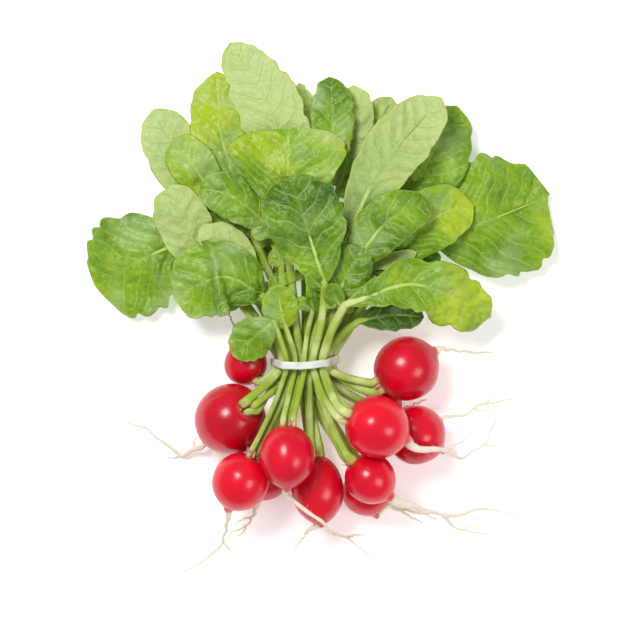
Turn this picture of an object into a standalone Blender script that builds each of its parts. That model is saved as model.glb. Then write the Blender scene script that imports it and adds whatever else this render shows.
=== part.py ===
"""A bunch of radishes lying on a table: twelve radishes with their taproots, twenty-nine leaves and a rubber band.

Lengths are in millimetres until a mesh is made. The layout has its origin on the table under the middle
of the band, with +X to the right, +Y towards the leaf tips and +Z up.
"""

import math

import bpy
import numpy as np

MM = 0.001
GAP = 0.9  # least room kept between two stems below the band
STACK_GAP = 1.2  # least height kept between two leaves that lie on each other
STEEPEST = 0.75  # slope of a leaf where it climbs over another

STEM_FLATNESS = 0.94
BLADE_HALF_THICKNESS = 0.42
ROUNDNESS = 0.5  # lower makes a blade's outline fuller
SLOT_PITCH = 4.7
ROW_PITCH = 4.1
LOWEST_ROW = 8.8  # height of the lowest row of stems in the band
SLOTS_IN_ROW = (5, 6, 7, 6, 5)  # from the lowest row to the highest

BAND_WIDTH = 3.8
BAND_THICKNESS = 1.1
BAND_ROOM = 0.4
BAND_TURNS = 44
STRAIGHT = 2.8  # a stem runs straight this far to each side of the band's middle
BAND_SLANT = 0.05  # how far along the stems the band drifts for each millimetre across

RADISH_SIDES = 10
RADISH_RINGS = (-0.975, -0.86, -0.62, -0.3, 0.05, 0.38, 0.66, 0.86, 0.955)
CROWN_ROOM = 0.9
CHAIN = 22  # points along a stem between its radish and the band
CHAIN_STEP = 3

RADISH_RED = (0.62, 0.006, 0.02)
BAND_WHITE = (0.74, 0.75, 0.72)

# name: centre, radius, half length, direction of the crown, taproot radius, taproot route
RADISHES = {
    "radish_beside_band_left": (
        (-30, -1.5, 11), 11, 11, (0.6, -0.75, 0.25), 1.1,
        ((-36.8, 11, 6), (-36, 17, 3), (-39, 24, 1.2), (-44, 29, 0.9)),
    ),
    "radish_left_large": (
        (-37.5, -29.5, 22), 18, 19, (0.48, 0.34, 0.8), 1.9,
        ((-51.5, -43, 9), (-57, -45.5, 5.5), (-63, -48, 2.6), (-69, -43.5, 1.4), (-76, -38.5, 1.1),
         (-82, -34, 1), (-91, -31.5, 0.9)),
    ),
    "radish_front_left": (
        (-31.8, -60, 38.4), 14.2, 15, (0.4, 0.9, 0.15), 1.3,
        ((-37.5, -76, 32), (-38.7, -80.5, 24), (-39.7, -86, 14), (-41.7, -91.5, 6), (-45, -96.5, 2),
         (-50, -100.5, 1.1), (-62, -108, 0.9)),
    ),
    "radish_front_centre": (
        (-8.3, -47, 47.5), 13.6, 16, (0.02, 0.98, -0.14), 1.3,
        ((-9.3, -64.5, 43), (-7, -68, 41), (-3.5, -71, 40), (1.5, -74, 38.5), (8, -79, 37.5),
         (12, -84.5, 30), (14, -87.5, 15), (17, -89, 4.5), (22, -90, 1.5), (27, -94, 1), (35, -101.5, 0.9)),
    ),
    "radish_under_left": (
        (-20.5, -58, 13), 12.8, 13, (0.3, 0.92, 0.1), 2.2,
        ((-24, -72, 7), (-26.5, -79.5, 2.8), (-29.5, -83.5, 1.8), (-33, -85.8, 1.2)),
    ),
    "radish_bottom_centre": (
        (6.5, -64.5, 26), 13, 17.8, (-0.1, 0.98, 0.05), 1.2,
        ((3.8, -83.6, 22), (1.6, -86, 15), (0.4, -88, 8), (-1.5, -91, 2), (-5, -95, 0.9)),
    ),
    "radish_under_right": (
        (31.3, -66.5, 12.5), 12.4, 12.5, (-0.35, 0.9, 0.1), 1.6,
        ((41.5, -73.5, 7.5), (48, -75.5, 3.6), (58, -77.5, 1.6), (67, -80.5, 1)),
    ),
    "radish_front_right_low": (
        (33, -58.6, 35.4), 12.6, 13.4, (-0.72, 0.66, 0.1), 2.3,
        ((44.8, -69, 32), (52, -72, 26), (61.5, -75.5, 17), (70, -78.5, 8), (75, -83.5, 3.2),
         (80, -86.3, 1.4), (94, -88, 0.9)),
    ),
    "radish_front_right_high": (
        (36.3, -32.5, 45.4), 15.8, 16.4, (-0.86, 0.38, 0.1), 1.8,
        ((52.8, -41.5, 42), (59.5, -43.8, 39), (70, -44.2, 31), (75.5, -48, 19), (80, -49, 9),
         (85, -46.5, 3), (91, -42.5, 1.4), (95, -34.5, 1), (98, -28, 0.9)),
    ),
    "radish_right": (
        (56.3, -37.3, 18.5), 15, 15, (-0.8, 0.56, 0.05), 1.3,
        ((69.5, -29.6, 14), (75, -28.6, 8), (82, -27, 2.8), (90, -22.5, 1.2), (106, -19.5, 0.9)),
    ),
    "radish_beside_band_right": (
        (51.3, -3.5, 22.5), 16, 17, (-0.85, -0.5, 0.1), 0.9,
        ((68.8, 6, 19), (73.5, 5.5, 12.5), (80, 4.6, 4.5), (86, 4, 1.5), (95, 4, 0.9)),
    ),
    "radish_small_tucked": (
        (41.5, -22, 8.2), 8, 8.2, (-0.83, 0.52, 0.15), 0.9,
        ((50, -24.5, 5), (55.5, -22.5, 2.2), (62, -20, 1)),
    ),
}

# name: radish, row and place in the band, stem radius, half width of the blade, where it is widest, fold,
# blade base, middle and tip. The order is the order in which they lie, lowest first.
LEAVES = {
    "leaf_far_right": ("radish_right", 0, 3, 1.9, 32, 0.48, -0.06, (64, 60, 16), (94, 71, 17), (123, 83, 5)),
    "leaf_under_right": ("radish_small_tucked", 0, 4, 1.5, 20, 0.5, 0.06, (28, 50, 9), (44, 84, 10), (52, 112, 4)),
    "leaf_upper_left": ("radish_under_left", 0, 0, 1.7, 14, 0.6, 0.1, (-42, 62, 11), (-62, 98, 14), (-77, 127, 6)),
    "leaf_under_left": ("radish_under_right", 0, 1, 1.7, 19, 0.5, 0.06, (-20, 52, 8), (-32, 84, 10), (-36, 112, 5)),
    "leaf_top_sliver": ("radish_under_right", 0, 2, 1.4, 6, 0.5, 0.2, (-1, 100, 12), (-1, 122, 14), (-3, 140, 12)),
    "leaf_far_left": ("radish_beside_band_left", 1, 0, 1.5, 27, 0.5, -0.04, (-58, 61, 15), (-82, 51, 14), (-106, 37, 3)),
    "leaf_top_left": ("radish_bottom_centre", 1, 2, 1.9, 15, 0.6, 0.1, (-27, 66, 18), (-41, 110, 20), (-45, 145, 12)),
    "leaf_small_round": ("radish_left_large", 1, 1, 1.5, 11.5, 0.6, 0.1, (-40, 72, 20), (-53, 94, 22), (-66, 111, 18)),
    "leaf_back_right": ("radish_beside_band_right", 1, 5, 1.9, 19, 0.5, -0.06, (46, 68, 16), (62, 100, 20), (76, 129, 12)),
    "leaf_top_right_small": ("radish_right", 1, 4, 1.5, 10, 0.55, 0.1, (24, 88, 20), (34, 114, 22), (44, 132, 20)),
    "leaf_top_pale_tip": ("radish_front_right_low", 1, 3, 1.5, 9.5, 0.55, 0.2, (18, 92, 22), (25, 120, 25), (25, 138, 22)),
    "leaf_left_pale": ("radish_beside_band_left", 2, 0, 1.5, 14, 0.55, 0.08, (-42, 42, 22), (-58, 64, 24), (-67, 88, 16)),
    "leaf_right_pale": ("radish_beside_band_right", 2, 6, 1.9, 15.5, 0.55, 0.08, (42, 48, 24), (63, 70, 27), (84, 79, 22)),
    "leaf_top_tall": ("radish_under_left", 2, 2, 1.9, 16.5, 0.45, 0.12, (-10, 78, 26), (-15, 120, 28), (-37, 160, 18)),
    "leaf_top_dark_tip": ("radish_bottom_centre", 2, 3, 1.9, 11, 0.6, 0.15, (12, 84, 26), (14, 116, 30), (13, 142, 26)),
    "leaf_left_tucked": ("radish_left_large", 2, 1, 1.3, 9, 0.5, 0.1, (-24, 46, 24), (-38, 59, 26), (-53, 65, 24)),
    "leaf_thin_right": ("radish_front_right_high", 2, 5, 1.2, 4, 0.5, 0.2, (28, 47, 26), (42, 50, 28), (56, 54, 25)),
    "leaf_long_rolled": ("radish_front_right_low", 2, 4, 1.9, 15, 0.6, 0.12, (20, 56, 30), (38, 96, 36), (68, 131, 30)),
    "leaf_left_oval": ("radish_front_left", 3, 1, 1.6, 11.5, 0.5, 0.1, (-16, 66, 32), (-36, 82, 34), (-53, 86, 30)),
    "leaf_folded_wide": ("radish_front_centre", 3, 2, 1.9, 29, 0.66, 0.04, (-9, 68, 32), (-8, 92, 38), (-8, 116, 36)),
    "leaf_right_pointed": ("radish_bottom_centre", 3, 3, 1.9, 13, 0.45, 0.1, (24, 48, 34), (42, 70, 38), (63, 78, 34)),
    "leaf_lower_left": ("radish_left_large", 3, 0, 1.8, 19, 0.5, 0.02, (-20, 32, 27), (-40, 42, 30), (-66, 32, 22)),
    "leaf_lower_right_shaded": ("radish_beside_band_right", 3, 5, 1.7, 8, 0.5, 0.08, (27, 20, 24), (44, 23, 25), (60, 22, 20)),
    "leaf_right_serrated": ("radish_front_right_high", 3, 4, 1.6, 11, 0.55, 0.1, (15, 26, 27), (20, 41, 32), (29, 57, 33)),
    "leaf_small_triangle": ("radish_front_centre", 4, 2, 1.2, 4.5, 0.4, 0.1, (5, 28, 30), (5, 36, 34), (3, 43, 37)),
    "leaf_small_heart": ("radish_front_centre", 4, 1, 1.2, 9.5, 0.4, 0.08, (-9, 16, 29), (-12, 27, 33), (-13, 38, 36)),
    "leaf_centre_dark": ("radish_front_right_high", 4, 3, 1.7, 20, 0.55, 0.08, (10, 38, 34), (2, 64, 44), (-7, 92, 46)),
    "leaf_small_serrated": ("radish_front_left", 4, 0, 1.2, 10.5, 0.45, 0.06, (-15, 20, 29), (-25, 12, 30), (-36, 3, 28)),
    "leaf_right_arching": ("radish_front_right_high", 4, 4, 1.9, 14.5, 0.62, 0.05, (20, 28, 32), (56, 38, 38), (93, 21, 24)),
}


def clear_scene():
    for thing in list(bpy.data.objects):
        bpy.data.objects.remove(thing)


def unit(vector):
    vector = np.asarray(vector, float)
    return vector / np.linalg.norm(vector)


def smooth_route(points, count):
    """Evenly spaced points along a Catmull-Rom curve through the given points."""
    points = np.asarray(points, float)
    padded = np.vstack([2 * points[0] - points[1], points, 2 * points[-1] - points[-2]])
    t = np.linspace(0, 1, 12, endpoint=False)[:, None]
    pieces = []
    for a, b, c, d in zip(padded, padded[1:], padded[2:], padded[3:]):
        pieces.append(
            0.5 * (2 * b + (c - a) * t + (2 * a - 5 * b + 4 * c - d) * t**2 + (3 * b - a - 3 * c + d) * t**3)
        )
    curve = np.vstack(pieces + [points[-1:]])
    along = np.concatenate([[0], np.cumsum(np.linalg.norm(np.diff(curve, axis=0), axis=1))])
    wanted = np.linspace(0, along[-1], count)
    return np.stack([np.interp(wanted, along, curve[:, axis]) for axis in range(3)], axis=1)


# Radishes


def radish_axis(radish):
    return -unit(RADISHES[radish][3])


def radish_sweep(radish):
    """Centres and radii of the rings from crown to taproot tip."""
    centre, radius, half, _, root, tail = RADISHES[radish]
    axis = radish_axis(radish)
    body = [np.array(centre) + axis * half * s for s in RADISH_RINGS]
    body_radii = [radius * math.sqrt(1 - s * s) for s in RADISH_RINGS]
    tail_route = smooth_route([body[-1], *tail], 2 + 2 * len(tail))[1:]
    share = np.linspace(0, 1, len(tail_route) + 1)[1:]
    tail_radii = 0.5 + (root - 0.5) * (1 - share) ** 1.6
    return np.vstack([body, tail_route]), np.concatenate([body_radii, tail_radii])


def ring_sweep(points, radii, sides):
    """Vertex rings square to a route, carried along it without twist."""
    tangents = np.gradient(points, axis=0)
    tangents /= np.linalg.norm(tangents, axis=1)[:, None]
    across = unit(np.cross(tangents[0], (0.3, 0.2, 1)))
    rings = []
    for point, tangent, radius in zip(points, tangents, radii):
        across = unit(across - tangent * across.dot(tangent))
        up = np.cross(tangent, across)
        turns = np.linspace(0, 2 * math.pi, sides, endpoint=False)[:, None]
        rings.append(point + radius * (np.cos(turns) * across + np.sin(turns) * up))
    return np.array(rings)


# Leaves above the band


def slot_of(row, place):
    """Where a stem passes through the band: the rows are packed like a pile of pipes."""
    count = SLOTS_IN_ROW[row]
    return np.array(((place - (count - 1) / 2) * SLOT_PITCH, 0, LOWEST_ROW + row * ROW_PITCH))


def leaf_route(leaf):
    """Stations from the band to the leaf's tip, and how far along the blade each is, below 0 on the stem."""
    _, row, place, _, _, _, _, base, middle, tip = LEAVES[leaf]
    slot = slot_of(row, place)
    base = np.array(base, float)
    entry, leaving = slot - (0, STRAIGHT, 0), slot + (0, STRAIGHT, 0)
    fan = slot + (0.35 * slot[0], 10, 0.4)
    stem_stations = 3 + int(np.linalg.norm(base - slot) / 22)
    start = unit(np.array(middle) - base)
    stem = np.vstack([[entry], smooth_route([leaving, fan, base - start * 4, base], stem_stations - 1)])
    blade = smooth_route([base, middle, tip], 8)
    along = np.concatenate([np.linspace(-1, 0, stem_stations)[:-1], np.linspace(0, 1, 8)])
    return np.vstack([stem[:-1], blade]), along


def blade_half_width(leaf, t):
    """Half width at a share t of the blade's length, which is greatest at the leaf's widest place."""
    _, _, _, stem, half, widest, *_ = LEAVES[leaf]
    if t <= 0:
        return stem
    bend = math.log(0.5) / math.log(widest)
    shape = math.sin(math.pi * min(t, 0.985) ** bend) ** ROUNDNESS
    return max(stem * (1 - t), half * shape, 0.9)


def half_thickness(leaf, t):
    stem = LEAVES[leaf][3]
    if t <= 0:
        return stem * STEM_FLATNESS
    return BLADE_HALF_THICKNESS + (stem - BLADE_HALF_THICKNESS) * max(0, 1 - 2.2 * t) ** 2


def leaf_loops(leaf, points, along):
    """Eight points round each station: an oval on the stem, flattening into the folded blade."""
    fold = LEAVES[leaf][6]
    tangents = np.gradient(points, axis=0)
    turns = np.radians((180, 135, 90, 45, 0, -45, -90, -135))
    loops = []
    for point, tangent, t in zip(points, tangents, along):
        tangent = unit(tangent)
        across = unit(np.cross(tangent, (0, 0, 1)))
        up = np.cross(across, tangent)
        blade = min(1, max(0, t * 4))
        width = blade_half_width(leaf, t)
        thick = half_thickness(leaf, t)
        side = width * np.cos(turns)[:, None]
        rise = thick * np.sin(turns)[:, None] + fold * blade * np.abs(side)
        loops.append(point + side * across + rise * up)
    return np.array(loops)


def dense(loops):
    """Points spread over a sweep's skin, as (station share, points)."""
    steps = 9
    closed = np.concatenate([loops, loops[:, :1]], axis=1)
    t = np.arange(steps)[:, None, None, None] / steps
    lengthwise = (closed[None, :-1] * (1 - t) + closed[None, 1:] * t).transpose(1, 0, 2, 3)
    lengthwise = lengthwise.reshape(-1, closed.shape[1], 3)
    share = (np.arange(len(closed) - 1)[:, None] + np.arange(steps)[None] / steps).reshape(-1)
    lengthwise = np.vstack([lengthwise, closed[-1:]])
    share = np.append(share, len(closed) - 1)
    u = np.arange(steps)[None, None, :, None] / steps
    around = lengthwise[:, :-1, None] * (1 - u) + lengthwise[:, 1:, None] * u
    return share, around.reshape(len(share), -1, 3)


class Pile:
    """How high the things laid so far reach, on a grid of square cells."""

    CELL = 0.9
    HALF = 170

    def __init__(self):
        size = 2 * int(self.HALF / self.CELL)
        self.top = np.zeros((size, size))

    def cells(self, points):
        index = np.floor((points[..., :2] + self.HALF) / self.CELL).astype(int)
        return index[..., 0], index[..., 1]

    def add(self, points):
        np.maximum.at(self.top, self.cells(points), points[..., 2])

    def shortfall(self, points, gap):
        """How much each row of points would have to rise to clear the pile."""
        needed = self.top[self.cells(points)] + gap - points[..., 2]
        return np.maximum(needed.max(axis=1), 0)


def lifts_for(pile, loops, points):
    """The rise of each station that lays a leaf on the pile with no slope over STEEPEST."""
    share, skin = dense(loops)
    needed = pile.shortfall(skin, STACK_GAP)
    lifts = np.zeros(len(points))
    np.maximum.at(lifts, np.floor(share).astype(int), needed)
    np.maximum.at(lifts, np.ceil(share).astype(int), needed)
    along = np.concatenate([[0], np.cumsum(np.linalg.norm(np.diff(points[:, :2], axis=0), axis=1))])
    reach = lifts[None, :] - STEEPEST * np.abs(along[:, None] - along[None, :])
    return np.maximum(reach.max(axis=1), 0)


def stack_leaves():
    """Lays the leaves on each other. Returns each leaf's loops from the band on, with the first at its slot."""
    pile = Pile()
    for radish in RADISHES:
        points, radii = radish_sweep(radish)
        pile.add(dense(ring_sweep(points, radii, RADISH_SIDES))[1])
    stacked = {}
    for leaf in LEAVES:
        points, along = leaf_route(leaf)
        loops = leaf_loops(leaf, points, along)
        rise = lifts_for(pile, loops, points)
        loops[..., 2] += rise[:, None]
        points[:, 2] += rise
        pile.add(dense(loops)[1])
        stacked[leaf] = (points, loops)
    return stacked


# Stems below the band


def crown_places(radish):
    """Starting points of a radish's stems, side by side just off its crown."""
    centre, _, half, crown, _, _ = RADISHES[radish]
    crown = unit(crown)
    own = [leaf for leaf in LEAVES if LEAVES[leaf][0] == radish]
    start = np.array(centre) + crown * (half + CROWN_ROOM)
    side = unit(np.cross(crown, (0, 0, 1)))
    over = np.cross(side, crown)
    spread = {1: 0, 2: 2.4, 3: 2.8, 4: 3.5}[len(own)]
    slots = {leaf: slot_of(*LEAVES[leaf][1:3]) for leaf in own}
    middle = sum(slots.values()) / len(own)
    angles = {leaf: math.atan2((slots[leaf] - middle)[2], (slots[leaf] - middle).dot(side)) for leaf in own}
    ordered = sorted(own, key=angles.get)
    first = angles[ordered[0]]
    places = {}
    for number, leaf in enumerate(ordered):
        turn = first + 2 * math.pi * number / len(own)
        places[leaf] = start + spread * (math.cos(turn) * side + math.sin(turn) * over)
    return places


def first_chain(start, leaving, slot):
    """A curve that leaves the crown square to it and meets the band along the stems."""
    reach = 0.45 * np.linalg.norm(slot - start)
    t = np.linspace(0, 1, CHAIN)[:, None]
    a, b, c, d = start, start + leaving * reach, slot - (0, reach, 0), slot
    return a * (1 - t) ** 3 + 3 * b * t * (1 - t) ** 2 + 3 * c * t**2 * (1 - t) + d * t**3


def push_from_radishes(chains, radii, owners):
    for number, radish in enumerate(RADISHES):
        centre, radius, half, _, _, _ = RADISHES[radish]
        axis = radish_axis(radish)
        room = radii[:, None] + GAP * 0.6
        offset = chains - np.array(centre)
        along = offset @ axis
        aside = np.linalg.norm(offset - along[..., None] * axis, axis=2)
        depth = np.sqrt((along / (half + room)) ** 2 + (aside / (radius + room)) ** 2)
        inside = depth < 1
        inside[owners == number, :2] = False
        chains += np.where(inside, 1 / np.maximum(depth, 0.3) - 1, 0)[..., None] * offset


def push_apart(chains, radii):
    leaves, count, _ = chains.shape
    flat = chains.reshape(-1, 3)
    owner = np.repeat(np.arange(leaves), count)
    room = np.repeat(radii, count)
    difference = flat[:, None] - flat[None]
    distance = np.linalg.norm(difference, axis=2) + 1e-6
    wanted = room[:, None] + room[None] + GAP
    close = (distance < wanted) & (owner[:, None] != owner[None])
    push = np.where(close, (wanted - distance) / distance * 0.25, 0)[..., None] * difference
    chains += push.sum(axis=1).reshape(chains.shape)


def settle_stems(stacked):
    """Routes of all stems from crown to band, pushed clear of each other, of the radishes and of the table."""
    names = list(LEAVES)
    radii = np.array([LEAVES[leaf][3] for leaf in names])
    owners = np.array([list(RADISHES).index(LEAVES[leaf][0]) for leaf in names])
    places = {}
    for radish in RADISHES:
        places.update(crown_places(radish))
    chains = []
    for leaf in names:
        leaving = unit(RADISHES[LEAVES[leaf][0]][3])
        chains.append(first_chain(places[leaf], leaving, stacked[leaf][0][0]))
    chains = np.array(chains)
    fixed = chains[:, [0, 1, -2, -1]].copy()
    for step in range(420):
        ease = 0.3 if step < 300 else 0.08
        middle = (chains[:, :-2] + chains[:, 2:]) / 2
        chains[:, 1:-1] += ease * (middle - chains[:, 1:-1])
        push_apart(chains, radii)
        push_from_radishes(chains, radii, owners)
        chains[..., 2] = np.maximum(chains[..., 2], radii[:, None] + 0.5)
        chains[:, [0, 1, -2, -1]] = fixed
    return dict(zip(names, chains))


def whole_leaf(leaf, stacked, chain):
    """Loops of a whole leaf, from its radish through the band to its tip."""
    lower = chain[:-1:CHAIN_STEP]
    points = np.vstack([lower, stacked[0][:2]])
    below = leaf_loops(leaf, points, np.full(len(points), -1.0))[: len(lower)]
    return np.vstack([below, stacked[1]])


# The band


def band_outline(stacked, room):
    """Corners of a loop drawn tight round the stems, with a slant along them."""
    turns = np.linspace(0, 2 * math.pi, BAND_TURNS, endpoint=False)
    slots = [
        (point[0], point[2], LEAVES[leaf][3]) for leaf, (points, _) in stacked.items() for point in points[:2]
    ]

    def reach(angle):
        return max(x * math.cos(angle) + z * math.sin(angle) + radius for x, z, radius in slots) + room

    corners = []
    for angle in turns:
        slope = (reach(angle + 0.02) - reach(angle - 0.02)) / 0.04
        x = reach(angle) * math.cos(angle) - slope * math.sin(angle)
        z = reach(angle) * math.sin(angle) + slope * math.cos(angle)
        corners.append((x, z))
    return np.array(corners)


def band_rings(stacked):
    inner = band_outline(stacked, BAND_ROOM)
    outer = band_outline(stacked, BAND_ROOM + BAND_THICKNESS)
    rings = []
    for (ix, iz), (ox, oz) in zip(inner, outer):
        y = BAND_SLANT * ox
        low, high = y - BAND_WIDTH / 2, y + BAND_WIDTH / 2
        rings.append(((ix, low, iz), (ox, low, oz), (ox, high, oz), (ix, high, iz)))
    return np.array(rings)


# Meshes


def skin_faces(rings, sides, closed):
    """Quads between neighbouring rings, and a cap on each end unless the sweep closes on itself."""
    faces = []
    for ring in range(rings if closed else rings - 1):
        following = (ring + 1) % rings
        for side in range(sides):
            beside = (side + 1) % sides
            corners = (ring * sides + side, ring * sides + beside, following * sides + beside, following * sides + side)
            faces.append(corners)
    if not closed:
        faces.append(tuple(reversed(range(sides))))
        faces.append(tuple(range((rings - 1) * sides, rings * sides)))
    return faces


def make_material(name, colour, roughness):
    material = bpy.data.materials.new(name)
    material.use_nodes = True
    shader = material.node_tree.nodes["Principled BSDF"]
    shader.inputs["Base Color"].default_value = (*colour, 1)
    shader.inputs["Roughness"].default_value = roughness
    material.diffuse_color = (*colour, 1)
    return material


def make_node(name, rings, anchor, shift, material, closed=False):
    """An object whose mesh is the swept skin, with its origin at the anchor."""
    points = (rings.reshape(-1, 3) - anchor) * MM
    mesh = bpy.data.meshes.new(name)
    mesh.from_pydata([tuple(point) for point in points], [], skin_faces(len(rings), rings.shape[1], closed))
    mesh.materials.append(material)
    thing = bpy.data.objects.new(name, mesh)
    thing.location = tuple((np.asarray(anchor) + shift) * MM)
    bpy.context.collection.objects.link(thing)
    return thing


def leaf_colour(number):
    """Greens that differ a little from leaf to leaf."""
    tint = 0.5 + 0.5 * math.sin(number * 2.4)
    return (0.12 + 0.12 * tint, 0.3 + 0.14 * tint, 0.03 + 0.03 * tint)


def main():
    clear_scene()
    stacked = stack_leaves()
    chains = settle_stems(stacked)
    shapes = {radish: ring_sweep(*radish_sweep(radish), RADISH_SIDES) for radish in RADISHES}
    shapes.update({leaf: whole_leaf(leaf, stacked[leaf], chains[leaf]) for leaf in LEAVES})
    shapes["rubber_band"] = band_rings(stacked)
    every = np.vstack([rings.reshape(-1, 3) for rings in shapes.values()])
    low, high = every.min(axis=0), every.max(axis=0)
    shift = np.array((-(low[0] + high[0]) / 2, -(low[1] + high[1]) / 2, -low[2]))
    for name in RADISHES:
        skin = make_material(name + "_skin", RADISH_RED, 0.3)
        make_node(name, shapes[name], np.array(RADISHES[name][0]), shift, skin)
    for number, name in enumerate(LEAVES):
        green = make_material(name + "_green", leaf_colour(number), 0.5)
        make_node(name, shapes[name], stacked[name][0][0], shift, green)
    rubber = make_material("white_rubber", BAND_WHITE, 0.55)
    make_node("rubber_band", shapes["rubber_band"], np.array((0, 0, 17)), shift, rubber, closed=True)


main()
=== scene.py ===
"""A bunch of radishes lying on a pale floor: skins, leaves, rootlets and a rubber band round the stems."""

import math

import bpy
import numpy as np
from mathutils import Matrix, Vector


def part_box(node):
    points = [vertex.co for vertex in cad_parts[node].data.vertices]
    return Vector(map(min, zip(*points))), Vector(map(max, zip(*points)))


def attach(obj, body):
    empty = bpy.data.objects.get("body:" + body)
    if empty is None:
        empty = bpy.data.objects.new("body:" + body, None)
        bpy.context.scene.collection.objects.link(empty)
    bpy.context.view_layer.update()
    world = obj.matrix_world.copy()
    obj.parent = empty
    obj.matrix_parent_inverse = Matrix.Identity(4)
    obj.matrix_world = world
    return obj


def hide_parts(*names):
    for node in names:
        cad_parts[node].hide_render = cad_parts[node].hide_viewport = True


bl_info = {
    "name": "Bunch of Radishes",
    "version": (1, 0, 0),
    "blender": (4, 5, 0),
    "location": "View3D > Sidebar > Radishes",
    "description": "Radishes with taproots and leafy tops, held by a rubber band",
    "category": "Add Mesh",
}

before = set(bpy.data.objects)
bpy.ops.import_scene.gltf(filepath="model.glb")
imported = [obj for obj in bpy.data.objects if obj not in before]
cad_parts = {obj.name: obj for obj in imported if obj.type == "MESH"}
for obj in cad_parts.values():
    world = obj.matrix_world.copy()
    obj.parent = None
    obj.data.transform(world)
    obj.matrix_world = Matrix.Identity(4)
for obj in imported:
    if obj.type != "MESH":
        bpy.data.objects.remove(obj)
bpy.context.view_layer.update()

# The layout's own sizes, in millimetres. Its origin is on the table under the middle of the band.

MM = 0.001
GAP = 0.9  # least room kept between two stems below the band
STACK_GAP = 1.2  # least height kept between two leaves that lie on each other
STEEPEST = 0.75  # slope of a leaf where it climbs over another

STEM_FLATNESS = 0.94
BLADE_HALF_THICKNESS = 0.42
ROUNDNESS = 0.5  # lower makes a blade's outline fuller
SLOT_PITCH = 4.7
ROW_PITCH = 4.1
LOWEST_ROW = 8.8  # height of the lowest row of stems in the band
SLOTS_IN_ROW = (5, 6, 7, 6, 5)  # from the lowest row to the highest

BAND_WIDTH = 3.8
BAND_THICKNESS = 1.1
BAND_ROOM = 0.4
BAND_TURNS = 44
STRAIGHT = 2.8  # a stem runs straight this far to each side of the band's middle
BAND_SLANT = 0.05  # how far along the stems the band drifts for each millimetre across

RADISH_SIDES = 10
RADISH_RINGS = (-0.975, -0.86, -0.62, -0.3, 0.05, 0.38, 0.66, 0.86, 0.955)
CROWN_ROOM = 0.9
CHAIN = 22  # points along a stem between its radish and the band

# name: centre, radius, half length, direction of the crown, taproot radius, taproot route
RADISHES = {
    "radish_beside_band_left": (
        (-30, -1.5, 11), 11, 11, (0.6, -0.75, 0.25), 1.1,
        ((-36.8, 11, 6), (-36, 17, 3), (-39, 24, 1.2), (-44, 29, 0.9)),
    ),
    "radish_left_large": (
        (-37.5, -29.5, 22), 18, 19, (0.48, 0.34, 0.8), 1.9,
        ((-51.5, -43, 9), (-57, -45.5, 5.5), (-63, -48, 2.6), (-69, -43.5, 1.4), (-76, -38.5, 1.1),
         (-82, -34, 1), (-91, -31.5, 0.9)),
    ),
    "radish_front_left": (
        (-31.8, -60, 38.4), 14.2, 15, (0.4, 0.9, 0.15), 1.3,
        ((-37.5, -76, 32), (-38.7, -80.5, 24), (-39.7, -86, 14), (-41.7, -91.5, 6), (-45, -96.5, 2),
         (-50, -100.5, 1.1), (-62, -108, 0.9)),
    ),
    "radish_front_centre": (
        (-8.3, -47, 47.5), 13.6, 16, (0.02, 0.98, -0.14), 1.3,
        ((-9.3, -64.5, 43), (-7, -68, 41), (-3.5, -71, 40), (1.5, -74, 38.5), (8, -79, 37.5),
         (12, -84.5, 30), (14, -87.5, 15), (17, -89, 4.5), (22, -90, 1.5), (27, -94, 1), (35, -101.5, 0.9)),
    ),
    "radish_under_left": (
        (-20.5, -58, 13), 12.8, 13, (0.3, 0.92, 0.1), 2.2,
        ((-24, -72, 7), (-26.5, -79.5, 2.8), (-29.5, -83.5, 1.8), (-33, -85.8, 1.2)),
    ),
    "radish_bottom_centre": (
        (6.5, -64.5, 26), 13, 17.8, (-0.1, 0.98, 0.05), 1.2,
        ((3.8, -83.6, 22), (1.6, -86, 15), (0.4, -88, 8), (-1.5, -91, 2), (-5, -95, 0.9)),
    ),
    "radish_under_right": (
        (31.3, -66.5, 12.5), 12.4, 12.5, (-0.35, 0.9, 0.1), 1.6,
        ((41.5, -73.5, 7.5), (48, -75.5, 3.6), (58, -77.5, 1.6), (67, -80.5, 1)),
    ),
    "radish_front_right_low": (
        (33, -58.6, 35.4), 12.6, 13.4, (-0.72, 0.66, 0.1), 2.3,
        ((44.8, -69, 32), (52, -72, 26), (61.5, -75.5, 17), (70, -78.5, 8), (75, -83.5, 3.2),
         (80, -86.3, 1.4), (94, -88, 0.9)),
    ),
    "radish_front_right_high": (
        (36.3, -32.5, 45.4), 15.8, 16.4, (-0.86, 0.38, 0.1), 1.8,
        ((52.8, -41.5, 42), (59.5, -43.8, 39), (70, -44.2, 31), (75.5, -48, 19), (80, -49, 9),
         (85, -46.5, 3), (91, -42.5, 1.4), (95, -34.5, 1), (98, -28, 0.9)),
    ),
    "radish_right": (
        (56.3, -37.3, 18.5), 15, 15, (-0.8, 0.56, 0.05), 1.3,
        ((69.5, -29.6, 14), (75, -28.6, 8), (82, -27, 2.8), (90, -22.5, 1.2), (106, -19.5, 0.9)),
    ),
    "radish_beside_band_right": (
        (51.3, -3.5, 22.5), 16, 17, (-0.85, -0.5, 0.1), 0.9,
        ((68.8, 6, 19), (73.5, 5.5, 12.5), (80, 4.6, 4.5), (86, 4, 1.5), (95, 4, 0.9)),
    ),
    "radish_small_tucked": (
        (41.5, -22, 8.2), 8, 8.2, (-0.83, 0.52, 0.15), 0.9,
        ((50, -24.5, 5), (55.5, -22.5, 2.2), (62, -20, 1)),
    ),
}

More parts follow.
